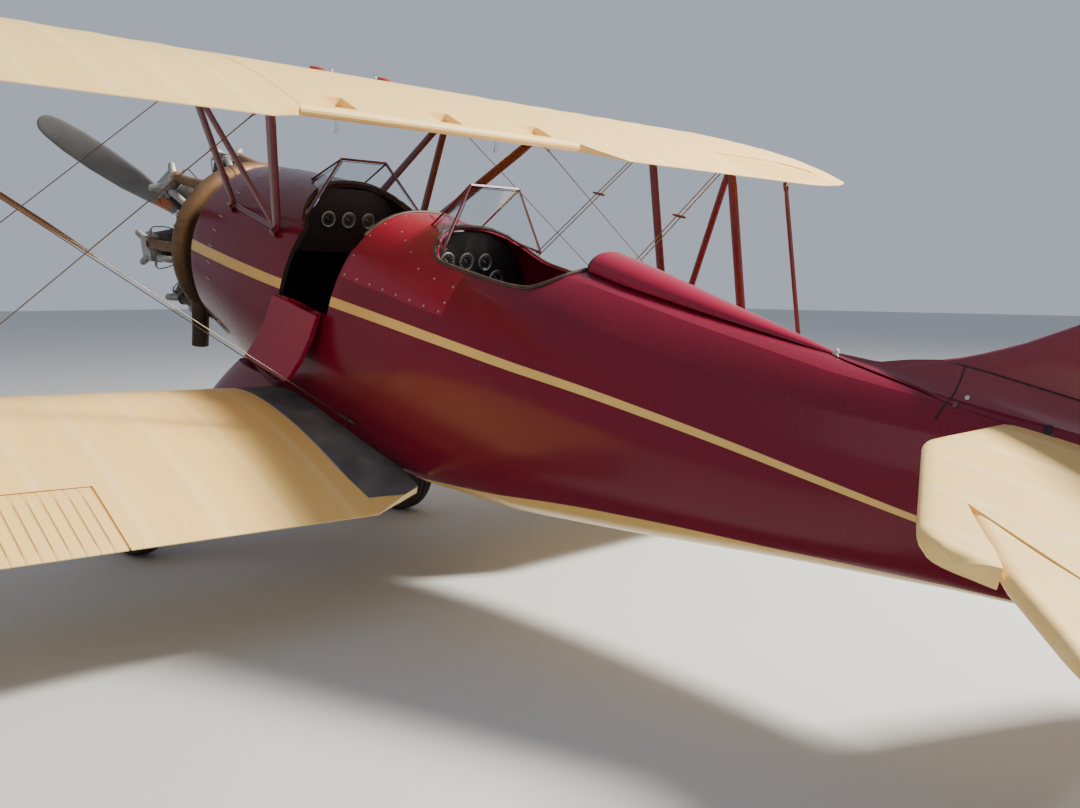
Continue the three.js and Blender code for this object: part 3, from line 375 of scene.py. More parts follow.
def prism(name, outline, low, high, place):
    """A plate cut to an outline of point pairs and pushed from low to high; place sets each point."""
    deselected()
    bpy.ops.mesh.primitive_circle_add(vertices=len(outline), fill_type="NGON")
    piece = bpy.context.object
    piece.name = name
    for vertex, (u, v) in zip(piece.data.vertices, outline):
        vertex.co = place(u, v, low)
    step = place(*outline[0], high) - place(*outline[0], low)
    edited(piece, lambda: bpy.ops.mesh.extrude_region_move(TRANSFORM_OT_translate={"value": step}), facing_out)
    return piece


def crosswise(s, h, b):
    return level(b, s, h)


def body_at(s):
    row = max(k for k in range(len(BODY) - 1) if k == 0 or BODY[k][0] <= s)
    first, second = BODY[row], BODY[row + 1]
    share = (s - first[0]) / (second[0] - first[0])
    return [a + (b - a) * share for a, b in zip(first, second)]


def side_at(s, h):
    """Half width of the body's surface at a station and height."""
    _, half, top, middle, bottom, above, below = body_at(s)
    reach, power = (top - middle, above) if h > middle else (middle - bottom, below)
    high = min(1, abs(h - middle) / max(reach, 0.001))
    return half * max(0, 1 - high ** power) ** (1 / power)


STRINGERS = [radians(a) for a in (9, 27, 45, 67.5, 90, 112.5, 135, 153, 171)]


def fabric_sag(angle, s):
    """How far the cover sinks between stringers, behind the sheet metal."""
    ends = [a for a in STRINGERS if a <= angle][-1:] + [a for a in STRINGERS if a > angle][:1]
    if len(ends) < 2:
        return 0
    share = (angle - ends[0]) / (ends[1] - ends[0])
    depth = 0.10 * (ends[1] - ends[0]) ** 2 * body_at(s)[1]
    return depth * min(1, max(0, (s - 4.0) / 0.5)) * 4 * share * (1 - share)


def body_ring(s, inset=0.0, count=160, sag=True):
    _, half, top, middle, bottom, above, below = body_at(s)
    ring = []
    for k in range(count):
        turn = 2 * pi * k / count
        c, d = cos(turn), sin(turn)
        power = 2 / (above if d >= 0 else below)
        reach = (top - middle if d >= 0 else middle - bottom) - inset
        sunk = fabric_sag(turn, s) if sag and d > 0 else 0
        b = copysign(abs(c) ** power, c) * (half - inset)
        h = copysign(abs(d) ** power, d) * reach
        long = hypot(b, h)
        keep = (long - sunk) / long
        ring.append(level(b * keep, s, middle + h * keep))
    return ring


def stations(start, end, pitch):
    count = max(2, round((end - start) / pitch))
    return [start + (end - start) * k / count for k in range(count + 1)]


def handed_over(piece, body, slot, *nodes):
    """A finished piece rides on its body and stands for CAD nodes; the slot is not used."""
    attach(piece, body)
    if nodes:
        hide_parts(*nodes)
    return piece


def finish(piece, material, degrees, body, slot, *nodes):
    """Paint, smoothing and hand-over of a piece in one call."""
    return handed_over(smooth(painted(piece, material), degrees), body, slot, *nodes)


def eased(outline):
    """An outline with its corners cut twice over, so that it runs in soft curves."""
    for _ in range(2):
        out = [outline[0]]
        for first, second in zip(outline, outline[1:]):
            out.append(tuple(0.75 * a + 0.25 * b for a, b in zip(first, second)))
            out.append(tuple(0.25 * a + 0.75 * b for a, b in zip(first, second)))
        outline = out + [outline[-1]]
    return outline


FRONT_RIM = eased([(2.232, 0.87), (2.34, 0.775), (2.46, 0.655), (2.56, 0.640), (2.94, 0.640)])
REAR_RIM = eased([(3.258, 0.85), (3.36, 0.775), (3.47, 0.705), (3.60, 0.70), (4.02, 0.70), (4.12, 0.745),
                  (4.198, 0.845)])
FIREWALL, CABIN_END, BODY_END, WALL = 1.70, 4.26, 6.60, 0.025

shell = drawn("fuselage_shell", [body_ring(s) for s in stations(FIREWALL, BODY_END, 0.05)])
hollow = drawn("cabin_hollow", [body_ring(s, WALL, 96, sag=False) for s in stations(1.728, CABIN_END, 0.1)])
cut_from(shell, hollow)
pits = [prism("front_pit", FRONT_RIM + [(2.94, 1.3), (2.232, 1.3)], -0.7, 0.7, crosswise),
        prism("rear_pit", REAR_RIM + [(4.198, 1.3), (3.258, 1.3)], -0.7, 0.7, crosswise)]
doorway = prism("doorway", [(2.49, 0.30), (2.93, 0.30), (2.93, 0.7), (2.49, 0.7)], 0.3, 0.7, crosswise)
deck_room = prism("deck_room", [(2.9447, 0.4997), (3.7003, 0.4997), (3.7003, 1.3), (2.9447, 1.3)], -0.7, 0.7,
                  crosswise)
cut_from(shell, *pits, doorway, deck_room)
painted(shell, fuselage_paint, inside_paint)
for face in shell.data.polygons:
    centre = SITTING.inverted() @ face.center
    if FIREWALL < centre.y < CABIN_END + 0.01:
        outer = side_at(centre.y, centre.z)
        inner = abs(centre.x) < outer - 0.012 and centre.z < body_at(centre.y)[2] - 0.012
        face.material_index = 1 if inner else 0
smooth(shell, 11.5)
handed_over(shell, "airframe", "maroon_paint", "fuselage")

# Nose cowl: a ring of sheet aluminium with a rolled front lip and a round mouth for the engine's
# accessories. It is painted outside, dark inside, and held to the firewall by a row of screws.
MOUTH, COWL_HEIGHT, COWL_WALL, SEAM = 0.335, 0.32, 0.014, 1.6997


def mouth_ring(s, radius):
    turns = [2 * pi * k / 160 for k in range(160)]
    return [level(radius * cos(t), s, COWL_HEIGHT + radius * sin(t)) for t in turns]


cowl = drawn("nose_cowl_ring", [body_ring(s, inset, sag=False) for s, inset in (
    (SEAM, 0), (1.64, 0), (1.58, 0), (1.52, 0), (1.475, 0.0), (1.458, 0.0015), (1.447, 0.006), (1.441, 0.014),
    (1.440, 0.024))] + [mouth_ring(1.440, MOUTH + 0.012), mouth_ring(1.443, MOUTH + 0.003),
                        mouth_ring(1.449, MOUTH), mouth_ring(1.454, MOUTH + 0.004)] + [
    body_ring(s, COWL_WALL, sag=False) for s in (1.4545, 1.58, SEAM)], closed=True)
cowl_front = glossy("cowl_front", (0.025, 0.022, 0.022, 1), 0.4, 0.6, 0.3, Metallic=0.0, Coat_Weight=0.3)
painted(cowl, body_paint("cowl_paint", belly=False), cowl_front)
for face in cowl.data.polygons:
    centre = SITTING.inverted() @ face.center
    outer = side_at(centre.y, centre.z) - 0.010
    face.material_index = int(centre.y < 1.446 or (abs(centre.x) < outer and centre.y > 1.45
                              and centre.z < body_at(centre.y)[2] - 0.01))
smooth(cowl, 40)
handed_over(cowl, "airframe", "maroon_paint", "nose_cowl")


# Screws and fasteners: a domed head with a cross slot, turned once and set wherever a panel, a strut
# fitting or an instrument is held down. Each row is one piece.
def copies(name, master, places):
    """One piece out of many copies of a master mesh, each set by its own matrix."""
    whole = bmesh.new()
    for place in places:
        part = master.data.copy()
        part.transform(place)
        whole.from_mesh(part)
        bpy.data.meshes.remove(part)
    data = bpy.data.meshes.new(name)
    whole.to_mesh(data)
    whole.free()
    piece = bpy.data.objects.new(name, data)
    bpy.context.collection.objects.link(piece)
    return piece


def joined(name, pieces):
    deselected()
    for piece in pieces:
        piece.select_set(True)
    bpy.context.view_layer.objects.active = pieces[0]
    if len(pieces) > 1:
        bpy.ops.object.join()
    pieces[0].name = name
    return pieces[0]


def standing(point, normal, scale=1.0):
    """Matrix that sets a master drawn along Z upright on a surface."""
    turn = Vector(normal).to_track_quat("Z", "Y").to_matrix().to_4x4()
    return Matrix.Translation(point) @ turn @ Matrix.Scale(scale, 4)


deselected()
bpy.ops.mesh.primitive_cylinder_add(vertices=10, radius=0.0055, depth=0.003)
screw = bpy.context.object
screw.name = "screw_master"
bm = bmesh.new()
bm.from_mesh(screw.data)
top_face = max(bm.faces, key=lambda f: f.calc_center_median().z)
bmesh.ops.inset_individual(bm, faces=[top_face], thickness=0.0022, depth=0.0011)
bm.to_mesh(screw.data)
bm.free()

metal, given, made = finish_group("bare_metal", Roughness=0.35, Grain=1.0, Stain=0.3)
place, *_ = shop_place(metal)
grain = noise(metal, place, 420.0, 3.0)
patch = noise(metal, place, 14.0, 6.0, Roughness=0.65)
blot = times(metal, maths(metal, "POWER", patch, 2.2), given.outputs["Stain"])
metal.links.new(mixed(metal, blot, given.outputs["Colour"], (0.03, 0.022, 0.016, 1)), made.inputs["Colour"])
rub = times(metal, grain, 0.16)
metal.links.new(plus(metal, plus(metal, given.outputs["Roughness"], rub), blot),
                made.inputs["Roughness"])
metal.links.new(times(metal, grain, given.outputs["Grain"]), made.inputs["Height"])


def metal_material(name, colour, roughness, stain=0.3, metallic=1.0, bump=0.15):
    made, _, shader = new_material(name, Metallic=metallic)
    finished(made, shader, metal, colour, bump=bump, distance=0.001, Roughness=roughness, Stain=stain)
    return made


screw_steel = metal_material("screw_steel", (0.55, 0.54, 0.52, 1), 0.28, stain=0.2)


def screw_row(name, places, material=screw_steel, body="airframe", slot="steel"):
    handed_over(painted(copies(name, screw, places), material), body, slot)


def surface_point(s, angle):
    """Point and outward normal on the body at a station and a turn round its section."""
    ring_here = body_ring(s, sag=False)
    k = round(angle / (2 * pi) * 160) % 160
    before, after = ring_here[k - 1], ring_here[(k + 1) % 160]
    along = level(0, s + 1, 0) - level(0, s, 0)
    normal = (after - before).cross(along).normalized()
    return ring_here[k], -normal if normal.dot(ring_here[k] - level(0, s, body_at(s)[3])) < 0 else normal


def side_point(s, h, side=1):
    """Point and outward normal on the body's side at a station and a height."""
    b, b_up = side_at(s, h), side_at(s, h + 0.004)
    normal = Vector((0.004, 0, b - b_up)).normalized()
    out = SITTING.to_3x3() @ Vector((side * normal.x, 0, normal.z))
    return level(side * b, s, h), out


rows = [surface_point(s, radians(a)) for s in (1.688, 1.714) for a in range(0, 360, 9)]
screw_row("cowl_screws", [standing(p, n) for p, n in rows])

# Mid deck: the sheet between the cockpits and round the front of the rear one, in the fuselage's red painted
# lighter as sunlight. It is one pressed panel, held down along its edges by screws.
deck = drawn("mid_deck_panel", [body_ring(s, 0, sag=False) for s in stations(2.945, 3.70, 0.05)])
cut_from(deck, drawn("deck_hollow", [body_ring(s, 0.014, 160, sag=False) for s in stations(2.9, 3.75, 0.05)]),
         prism("rear_pit", REAR_RIM + [(4.198, 1.3), (3.258, 1.3)], -0.7, 0.7, crosswise),
         prism("below_deck", [(2.8, -0.6), (3.8, -0.6), (3.8, 0.5), (2.8, 0.5)], -0.7, 0.7, crosswise))
finish(deck, sunlit_red_paint, 28, "airframe", "maroon_paint", "mid_deck")

rows = [side_point(s, 0.517, side) for s in stations(2.97, 3.67, 0.10) for side in (1, -1)]
rows += [surface_point(2.965, radians(a)) for a in range(38, 143, 13)]
rows += [side_point(3.683, h, side) for h in (0.56, 0.63) for side in (1, -1)]
rows += [side_point(s, h, side) for s, h in ((3.2, 0.735), (3.3, 0.70), (3.42, 0.65), (3.55, 0.635), (3.12, 0.76))
         for side in (1, -1)]
screw_row("deck_screws", [standing(p, n, 0.9) for p, n in rows])

# Headrest: a tapering fairing of beaten aluminium behind the pilot's head, running aft into the deck
# and ending at a small lamp. Its front carries a stuffed leather pad.
HEADREST = [(4.212, 0.130, 0.078), (4.40, 0.128, 0.072), (4.70, 0.100, 0.052), (5.00, 0.066, 0.032),
            (5.21, 0.036, 0.018), (5.33, 0.012, 0.006)]


def deck_height(b, s):
    _, half, top, middle, _, above, _ = body_at(s)
    return middle + (top - middle) * (1 - min(1, abs(b / half)) ** above) ** (1 / above)


def headrest_ring(s, grown=1.0):
    k = max(k for k in range(len(HEADREST) - 1) if k == 0 or HEADREST[k][0] <= s)
    a, b = HEADREST[k], HEADREST[k + 1]
    half, high = [a[i] + (b[i] - a[i]) * (s - a[0]) / (b[0] - a[0]) for i in (1, 2)]
    arc = [pi * t / 28 for t in range(29)]
    crest = deck_height(0, s)
    over = [(half * grown * cos(t), crest + high * grown * sin(t) ** 0.9) for t in arc]
    over = [(b, max(h - 0.5 * abs(b / half) ** 3 * (crest - deck_height(half, s)), deck_height(b, s) + 0.001))
            for b, h in over]
    under = [(-half * grown * cos(pi * t / 12), 0) for t in range(1, 12)]
    return [level(b, s, h) for b, h in over] + [level(b, s, deck_height(b, s) + 0.0006) for b, _ in under]


headrest = drawn("headrest_fairing", [headrest_ring(s) for s in stations(4.212, 5.33, 0.04)])
# The headrest's lighter red is painted sunlight.
finish(headrest, sunlit_red_paint, 50, "airframe", "maroon_paint", "headrest")

leather, leather_tree, leather_shader = new_material("worn_leather", Specular_IOR_Level=0.35)
place, *_ = shop_place(leather_tree)
creases = node(leather_tree, "ShaderNodeTexVoronoi", {"Vector": place, "Scale": 190.0}, feature="DISTANCE_TO_EDGE")
folds = noise(leather_tree, place, 22.0, 5.0)
worn = maths(leather_tree, "POWER", folds, 3.0)
leather_tree.links.new(mixed(leather_tree, worn, (0.035, 0.02, 0.015, 1), (0.16, 0.10, 0.07, 1)),
                       leather_shader.inputs["Base Color"])
leather_tree.links.new(plus(leather_tree, times(leather_tree, folds, 0.3), 0.32),
                       leather_shader.inputs["Roughness"])
bumped(leather_tree, leather_shader, times(leather_tree, creases.outputs[0], 0.6), 0.5, 0.002)

pad_rings = [headrest_ring(4.2125, k) for k in (0.55, 0.8, 0.93, 0.98)]
pad_depth = [0.0, 0.004, 0.016, 0.032]
aft = (level(0, 1, 0) - level(0, 0, 0)).normalized()
headrest_pad = drawn("headrest_pad", [[p - aft * (0.036 - d) for p in ring] for ring, d in zip(pad_rings, pad_depth)])
with_modifier(headrest_pad, "SUBSURF", levels=1, render_levels=1)
smooth(painted(headrest_pad, leather), 60)
handed_over(headrest_pad, "airframe", "leather")


# Cockpit rims: leather rolls laced over the cut edges of the two openings, round both sides and over
# the deck ahead and behind.
def swept(name, path, radius, sides=10):
    """A round bar drawn along a path of world points; the radius may change from point to point."""
    count = len(path)
    rings, across = [], None
    for k, point in enumerate(path):
        along = (path[min(k + 1, count - 1)] - path[max(k - 1, 0)]).normalized()
        if across is None:
            across = along.orthogonal().normalized()
        across = (across - along * across.dot(along)).normalized()
        other = along.cross(across)
        size = radius[k] if isinstance(radius, list) else radius
        rings.append([point + size * (cos(t) * across + sin(t) * other)
                      for t in (2 * pi * i / sides for i in range(sides))])
    return drawn(name, rings)


def rim_path(outline, back, doorway):
    """One turn round a cockpit from the rear of its port edge, or from the front of its doorway."""
    port = [(side_at(s, h), s, h) for s, h in outline]
    port = [p for p in port if p[0] > 0.05]
    over_front = [(b, port[0][1], deck_height(b, port[0][1])) for b in
                  [port[0][0] * k / 8 for k in range(7, -8, -1)]]
    behind = [(port[-1][0] * k / 8, back, deck_height(port[-1][0] * k / 8, back)) for k in range(-7, 8)]
    starboard = [(-b, s, h) for b, s, h in port]
    start = [p for p in port[::-1] if p[1] < doorway]
    closing = start[:1] if doorway > back else []
    return [level(*p) for p in start + over_front + starboard + behind + closing]


for name, outline, back, doorway in (("front", FRONT_RIM, 2.936, 2.484), ("rear", REAR_RIM, 4.200, BODY_END)):
    rim = swept(f"{name}_cockpit_rim", rim_path(outline, back, doorway), 0.010, 10)
    finish(rim, leather, 60, "airframe", "leather")

# Door: the port side panel of the front cockpit, hinged along its sill and hanging open. It keeps the
# pressed sheet's gloss.
def repainted(material, *names):
    """CAD nodes that keep their mesh and get their real finish."""
    for name in names:
        frame["nodes"][name].material_slots[0].material = material


# The door takes the lighter copy of the fuselage red too, painted as if sunlit.
repainted(sunlit_red_paint, "door")

# Windscreens: three flat panes each in a light painted tube frame, screwed to the deck.
glass, glass_tree, glass_shader = new_material("screen_glass", Transmission_Weight=1.0, IOR=1.2, Metallic=0.0)
place, *_ = shop_place(glass_tree)
haze = noise(glass_tree, place, 16.0, 6.0, Roughness=0.7)
glass_tree.links.new(mixed(glass_tree, haze, (0.93, 0.96, 0.97, 1), (0.80, 0.85, 0.87, 1)),
                     glass_shader.inputs["Base Color"])
glass_tree.links.new(times(glass_tree, maths(glass_tree, "POWER", haze, 3.0), 0.35),
                     glass_shader.inputs["Roughness"])
strut_paint = glossy("strut_paint", (0.125, 0.006, 0.012, 1), 0.22, 0.4, 0.12, Coat_Weight=0.4, Coat_Roughness=0.1)
repainted(glass, "front_screen_glass", "rear_screen_glass")
repainted(strut_paint, "front_screen_frame", "rear_screen_frame")

# Cockpit furniture: benches of folded sheet, instrument panels and the control sticks, all in dull
# black. The round instruments have a turned bezel, a dark face, white marks and a needle.
repainted(inside_paint, "front_seat", "rear_seat", "front_panel", "rear_panel", "floor")
repainted(metal_material("stick_steel", (0.3, 0.3, 0.3, 1), 0.35), "controls")

DIAL = 0.040
bpy.ops.mesh.primitive_torus_add(major_radius=DIAL, minor_radius=0.005, major_segments=28, minor_segments=8)
bezel = bpy.context.object
bpy.ops.mesh.primitive_cylinder_add(vertices=28, radius=DIAL, depth=0.004)
dial_face = bpy.context.object
marks = []
for k in range(12):
    turn = 2 * pi * k / 12
    bpy.ops.mesh.primitive_cube_add(size=1, rotation=(0, 0, turn), scale=(0.0012, 0.008 if k % 3 else 0.012, 0.001),
                                    location=(-0.030 * sin(turn), 0.030 * cos(turn), 0.0025))
    marks.append(bpy.context.object)
bpy.ops.mesh.primitive_cube_add(size=1, rotation=(0, 0, 0.9), scale=(0.0016, 0.026, 0.001),
                                location=(-0.008, 0.006, 0.003))
marks.append(bpy.context.object)
for mark in marks:
    alone(mark)
    bpy.ops.object.transform_apply(location=True, rotation=True, scale=True)
white_marks, _, _ = new_material("dial_marks", Base_Color=(0.75, 0.74, 0.68, 1), Roughness=0.6)
dial_black = glossy("dial_face", (0.008, 0.008, 0.009, 1), 0.3, dust=0.05)
dial_places = [("rear_dials", 3.290, [(0, 0.66), (0.12, 0.66), (-0.12, 0.66), (0.21, 0.58), (-0.21, 0.58), (0, 0.55),
                (0.11, 0.55)]), ("front_dials", 2.261, [(0.13, 0.66), (0, 0.66), (-0.13, 0.66)])]
tail_ward = SITTING.to_3x3() @ Vector((0, 1, 0))
for name, station, spots in dial_places:
    places = [standing(level(b, station, h), tail_ward) for b, h in spots]
    for part, masters, material in (("bezels", [bezel], screw_steel), ("faces", [dial_face], dial_black),
                                    ("marks", marks, white_marks)):
        piece = joined(f"{name}_{part}", [copies(f"{name}_{part}", m, places) for m in masters])
        finish(piece, material, 40, "airframe", "black_paint")
for master in [bezel, dial_face, *marks]:
    bpy.data.objects.remove(master, do_unlink=True)


# Seat cushions: leather cases stuffed with horsehair, sewn in channels from front to back. Each is
# blown up by a cloth simulation from its bench's cushion and then drawn in along its seams.
def cushion_from(node_name, name, channels, half):
    source = frame["nodes"][node_name]
    piece = source.copy()
    piece.data = source.data.copy()
    bpy.context.collection.objects.link(piece)
    piece.name = name
    edited(piece, lambda: bpy.ops.mesh.remove_doubles(threshold=0.0001), facing_out)
    with_modifier(piece, "REMESH", mode="VOXEL", voxel_size=0.006, adaptivity=0)
    rest = [vertex.co.copy() for vertex in piece.data.vertices]
    alone(piece)
    cloth = piece.modifiers.new("stuffing", "CLOTH")
    cloth.settings.use_pressure = True
    cloth.settings.uniform_pressure_force = 4
    cloth.settings.effector_weights.gravity = 0
    for moment in range(1, 16):
        bpy.context.scene.frame_set(moment)
    bpy.ops.object.modifier_apply(modifier=cloth.name)
    bpy.context.scene.frame_set(1)
    for vertex, start in zip(piece.data.vertices, rest):
        moved = vertex.co - start
        if moved.length > 0.012:
            vertex.co = start + moved.normalized() * 0.012
    mesh = piece.data
    out = [v.normal.copy() for v in mesh.vertices]
    for vertex, normal in zip(mesh.vertices, out):
        phase = (vertex.co.x / half + 1) / 2 * channels
        near = abs(phase - round(phase)) * 2 * half / channels
        if 0.5 < phase < channels - 0.5 and near < 0.03:
            vertex.co -= normal * 0.010 * (1 - near / 0.03) ** 2
    with_modifier(piece, "SMOOTH", factor=0.5, iterations=2)
    smooth(painted(piece, leather), 80)
    return handed_over(piece, "airframe", "leather", node_name)


cushion_from("front_cushion", "front_seat_cushion", 6, 0.368)
cushion_from("rear_cushion", "rear_seat_cushion", 4, 0.213)

# Engine: a seven-cylinder radial of cast aluminium and steel. Each cylinder has a finned barrel and
# head, two rocker boxes, two pushrod tubes, two plugs and an inlet pipe. One is built on the Z side
# of the crankshaft and copied round it. The crankcase is turned, with bolts round its joints.
CYLINDERS, CYLINDER_STATION = 7, 0.365
SHAFT_END = HUB_STATION + 0.04


def engine_place(turn=0.0):
    """From the engine's own frame, Y aft along the shaft, to its place in the aircraft."""
    return SITTING @ Matrix.Translation((0, SHAFT_END, HUB_HEIGHT)) @ Matrix.Rotation(turn, 4, "Y")


def by_engine(points):
    """World places of points given in the engine's own frame."""
    return [engine_place() @ Vector(p) for p in points]


def lathed(name, profile, sides=32, axis="Z"):
    """A profile of height and radius turned round an axis through the origin."""
    rings = []
    for height, radius in profile:
        ring = []
        for k in range(sides):
            turn = 2 * pi * k / sides
            x, y = radius * cos(turn), radius * sin(turn)
            ring.append(Vector({"Z": (x, y, height), "Y": (x, height, y), "X": (height, x, y)}[axis]))
        rings.append(ring)
    return drawn(name, rings)


def block(name, centre, size, bevel=0.003):
    """A squared block with its edges rounded by hand."""
    deselected()
    bpy.ops.mesh.primitive_cube_add(size=1)
    piece = bpy.context.object
    piece.name = name
    scale = Matrix.Diagonal((*size, 1))
    piece.data.transform(Matrix.Translation(centre) @ scale)
    edited(piece, lambda: bpy.ops.mesh.bevel(offset=bevel, segments=2, affect="EDGES"), facing_out)
    return piece


fins = [(0.205, 0.001), (0.205, 0.066), (0.245, 0.066), (0.246, 0.071)]
for k in range(15):
    z = 0.262 + k * 0.0125
    fins += [(z, 0.071), (z + 0.001, 0.088), (z + 0.0035, 0.088), (z + 0.0045, 0.071)]
fins += [(0.452, 0.074), (0.455, 0.078)]
barrel = lathed("barrel", fins + [(0.458, 0.078), (0.458, 0.001)], 28)
head = [block("head_core", (0, 0, 0.482), (0.13, 0.125, 0.058), 0.012)]
for k in range(7):
    reach = 0.176 - 0.006 * k
    head.append(block("head_fin", (0, 0, 0.455 + k * 0.0095), (reach, 0.150 - 0.004 * k, 0.0024), 0.0008))
ROCKER = [(0.034, 0.010, 0.478), (0.058, -0.012, 0.500), (0.082, -0.034, 0.518), (0.098, -0.049, 0.527),
          (0.106, -0.056, 0.530)]
for side in (-1, 1):
    ear = [Vector((side * x, y, z)) for x, y, z in ROCKER]
    cap = [ear[1] + Vector((0, -0.020, -0.004)), ear[1] + Vector((0, -0.032, -0.008))]
    head.append(swept("rocker_box", ear, [0.026, 0.025, 0.023, 0.0205, 0.010], 18))
    head.append(swept("rocker_cap", cap, 0.016, 16))
    head.append(swept("plug", [Vector((side * 0.086, 0.02, 0.47)), Vector((side * 0.118, 0.03, 0.478))], 0.009, 8))
cylinder_head = joined("cylinder_head", head)
tubes = [swept("pushrod_tube", [Vector((side * 0.024, -0.118, 0.22)), Vector((side * 0.048, -0.098, 0.35)),
                                Vector((side * 0.060, -0.050, 0.490))], 0.0085, 10) for side in (-1, 1)]
pushrods = joined("pushrod_pair", tubes)
leads = []
for side in (-1, 1):
    path = [Vector((side * 0.119, 0.030, 0.478)), Vector((side * 0.135, 0.034, 0.462)),
            Vector((side * 0.128, 0.05, 0.40)), Vector((side * 0.100, 0.075, 0.33)),
            Vector((side * 0.070, 0.11, 0.262))]
    leads.append(swept("lead", path, 0.0035, 6))
spark_leads = joined("plug_leads", leads)
inlet_path = [Vector((0.048, 0.225, 0.17)), Vector((0.060, 0.222, 0.25)), Vector((0.063, 0.20, 0.34)),
              Vector((0.058, 0.165, 0.42)), Vector((0.050, 0.10, 0.468)), Vector((0.048, 0.055, 0.476))]
inlet = swept("inlet_pipe", inlet_path, [0.024, 0.023, 0.022, 0.022, 0.021, 0.021], 14)
with_modifier(inlet, "SUBSURF", levels=1, render_levels=1)

cast_metal = metal_material("cast_aluminium", (0.50, 0.49, 0.47, 1), 0.38, stain=0.9, bump=0.35)
fin_metal = metal_material("fin_steel", (0.20, 0.20, 0.20, 1), 0.42, stain=0.8, bump=0.2)
bright_metal = metal_material("bright_steel", (0.72, 0.72, 0.70, 1), 0.18, stain=0.3)
black_lead = glossy("rubber_lead", (0.01, 0.01, 0.01, 1), 0.6, dust=0.3)

around = [engine_place(2 * pi * k / CYLINDERS) @ Matrix.Translation((0, CYLINDER_STATION, 0))
          for k in range(CYLINDERS)]
for name, master, material, slot in (
        ("cylinder_barrels", barrel, fin_metal, "engine_metal"),
        ("cylinder_heads", cylinder_head, cast_metal, "engine_metal"),
        ("pushrod_tubes", pushrods, bright_metal, "steel"), ("spark_leads", spark_leads, black_lead, "black_paint"),
        ("inlet_pipes", inlet, cast_metal, "engine_metal")):
    finish(copies(name, master, around), material, 35, "airframe", slot)
    bpy.data.objects.remove(master, do_unlink=True)

CASE = [(0.003, 0.001), (0.003, 0.038), (0.030, 0.040), (0.031, 0.060), (0.070, 0.066), (0.110, 0.072),
        (0.150, 0.120), (0.180, 0.170), (0.215, 0.213), (0.235, 0.232), (0.250, 0.238), (0.300, 0.240),
        (0.420, 0.240), (0.480, 0.238), (0.500, 0.228), (0.520, 0.215), (0.600, 0.205), (0.615, 0.190),
        (0.640, 0.150), (0.660, 0.145), (0.800, 0.143), (0.819, 0.130), (0.8195, 0.001)]
crankcase = lathed("crankcase", CASE, 56, "Y")
crankcase.data.transform(engine_place())
sump = swept("oil_sump", by_engine([(0, 0.47, -0.215), (0, 0.485, -0.31), (0, 0.50, -0.39), (0, 0.50, -0.40)]),
             [0.062, 0.062, 0.056, 0.03], 20)
case_bolts = []
for station, radius, count in ((0.236, 0.222, 21), (0.498, 0.222, 21), (0.112, 0.074, 12), (0.618, 0.17, 14)):
    for k in range(count):
        turn = 2 * pi * (k + 0.5) / count
        spot, = by_engine([(radius * cos(turn), station, radius * sin(turn))])
        case_bolts.append(standing(spot, SITTING.to_3x3() @ Vector((0, -1, 0)), 1.7))
finish(crankcase, cast_metal, 35, "airframe", "engine_metal", "engine")
finish(sump, cast_metal, 40, "airframe", "engine_metal")
screw_row("crankcase_bolts", case_bolts, bright_metal)

# Exhaust collector: seven stubs run aft into one large ring of welded steel sheet, made in sections
# that slip into each other, with one outlet pipe below on the port side. The heat has browned it, and it
# is painted darker towards the bottom as shade.
COLLECTOR_STATION, COLLECTOR_RADIUS, COLLECTOR_TUBE = 0.745, 0.455, 0.060


def ring_path(turns):
    return by_engine([(COLLECTOR_RADIUS * sin(t), COLLECTOR_STATION, COLLECTOR_RADIUS * cos(t))
                      for t in turns])


browned, browned_tree, browned_shader = new_material("browned_steel", Metallic=0.85)
place, _, _, h_at = shop_place(browned_tree)
heat = noise(browned_tree, place, 5.0, 6.0, Roughness=0.6)
# Painted shade: lower down, the ring is mixed towards near-black, as its underside falls in shade.
lower_shade_share = node(browned_tree, "ShaderNodeMapRange", {"Value": h_at, "From Min": 0.35, "From Max": -0.15})
tint = mixed(browned_tree, heat, (0.42, 0.25, 0.13, 1), (0.15, 0.09, 0.055, 1))
tint = mixed(browned_tree, times(browned_tree, lower_shade_share.outputs[0], 0.75), tint, (0.02, 0.018, 0.017, 1))
finished(browned, browned_shader, metal, tint, bump=0.25, distance=0.002, Roughness=0.42, Stain=0.55)

arcs = []
for k in range(CYLINDERS):
    start = 2 * pi * (k + 0.42) / CYLINDERS
    turns = [start + 2 * pi / CYLINDERS * t / 12 for t in range(-1, 13)]
    arcs.append(swept("section", ring_path(turns), [COLLECTOR_TUBE - (0.0025 if k % 2 else 0.0)] * 14, 24))
    for edge in (start, start + 0.10):
        band = ring_path([edge - 0.014, edge - 0.012, edge + 0.012, edge + 0.014])
        arcs.append(swept("band", band, [COLLECTOR_TUBE + d for d in (0, 0.003, 0.003, 0)], 24))
collector = joined("collector_ring", arcs)
stubs = []
for k in range(CYLINDERS):
    path = [Vector(p) for p in ((-0.042, 0.395, 0.487), (-0.045, 0.46, 0.487), (-0.052, 0.56, 0.480),
                                (-0.066, 0.66, 0.468), (-0.072, 0.725, 0.458))]
    stub = swept("stub", path, [0.029, 0.030, 0.030, 0.032, 0.038], 16)
    flange = swept("flange", [Vector((-0.042, 0.410, 0.487)), Vector((-0.042, 0.418, 0.487))], 0.040, 16)
    for piece in (stub, flange):
        piece.data.transform(engine_place(2 * pi * k / CYLINDERS))
        stubs.append(piece)
outlet = swept("outlet", by_engine([(0.335, 0.745, -0.29), (0.315, 0.748, -0.34), (0.308, 0.757, -0.42),
                                    (0.303, 0.768, -0.52), (0.300, 0.775, -0.625)]),
               [0.058, 0.053, 0.051, 0.050, 0.050], 24)
cut_from(outlet, swept("bore", by_engine([(0.303, 0.768, -0.52), (0.2995, 0.776, -0.64)]), 0.046, 24))
finish(joined("exhaust_collector", [collector, outlet, *stubs]), browned, 35, "airframe", "exhaust_steel",
       "exhaust")

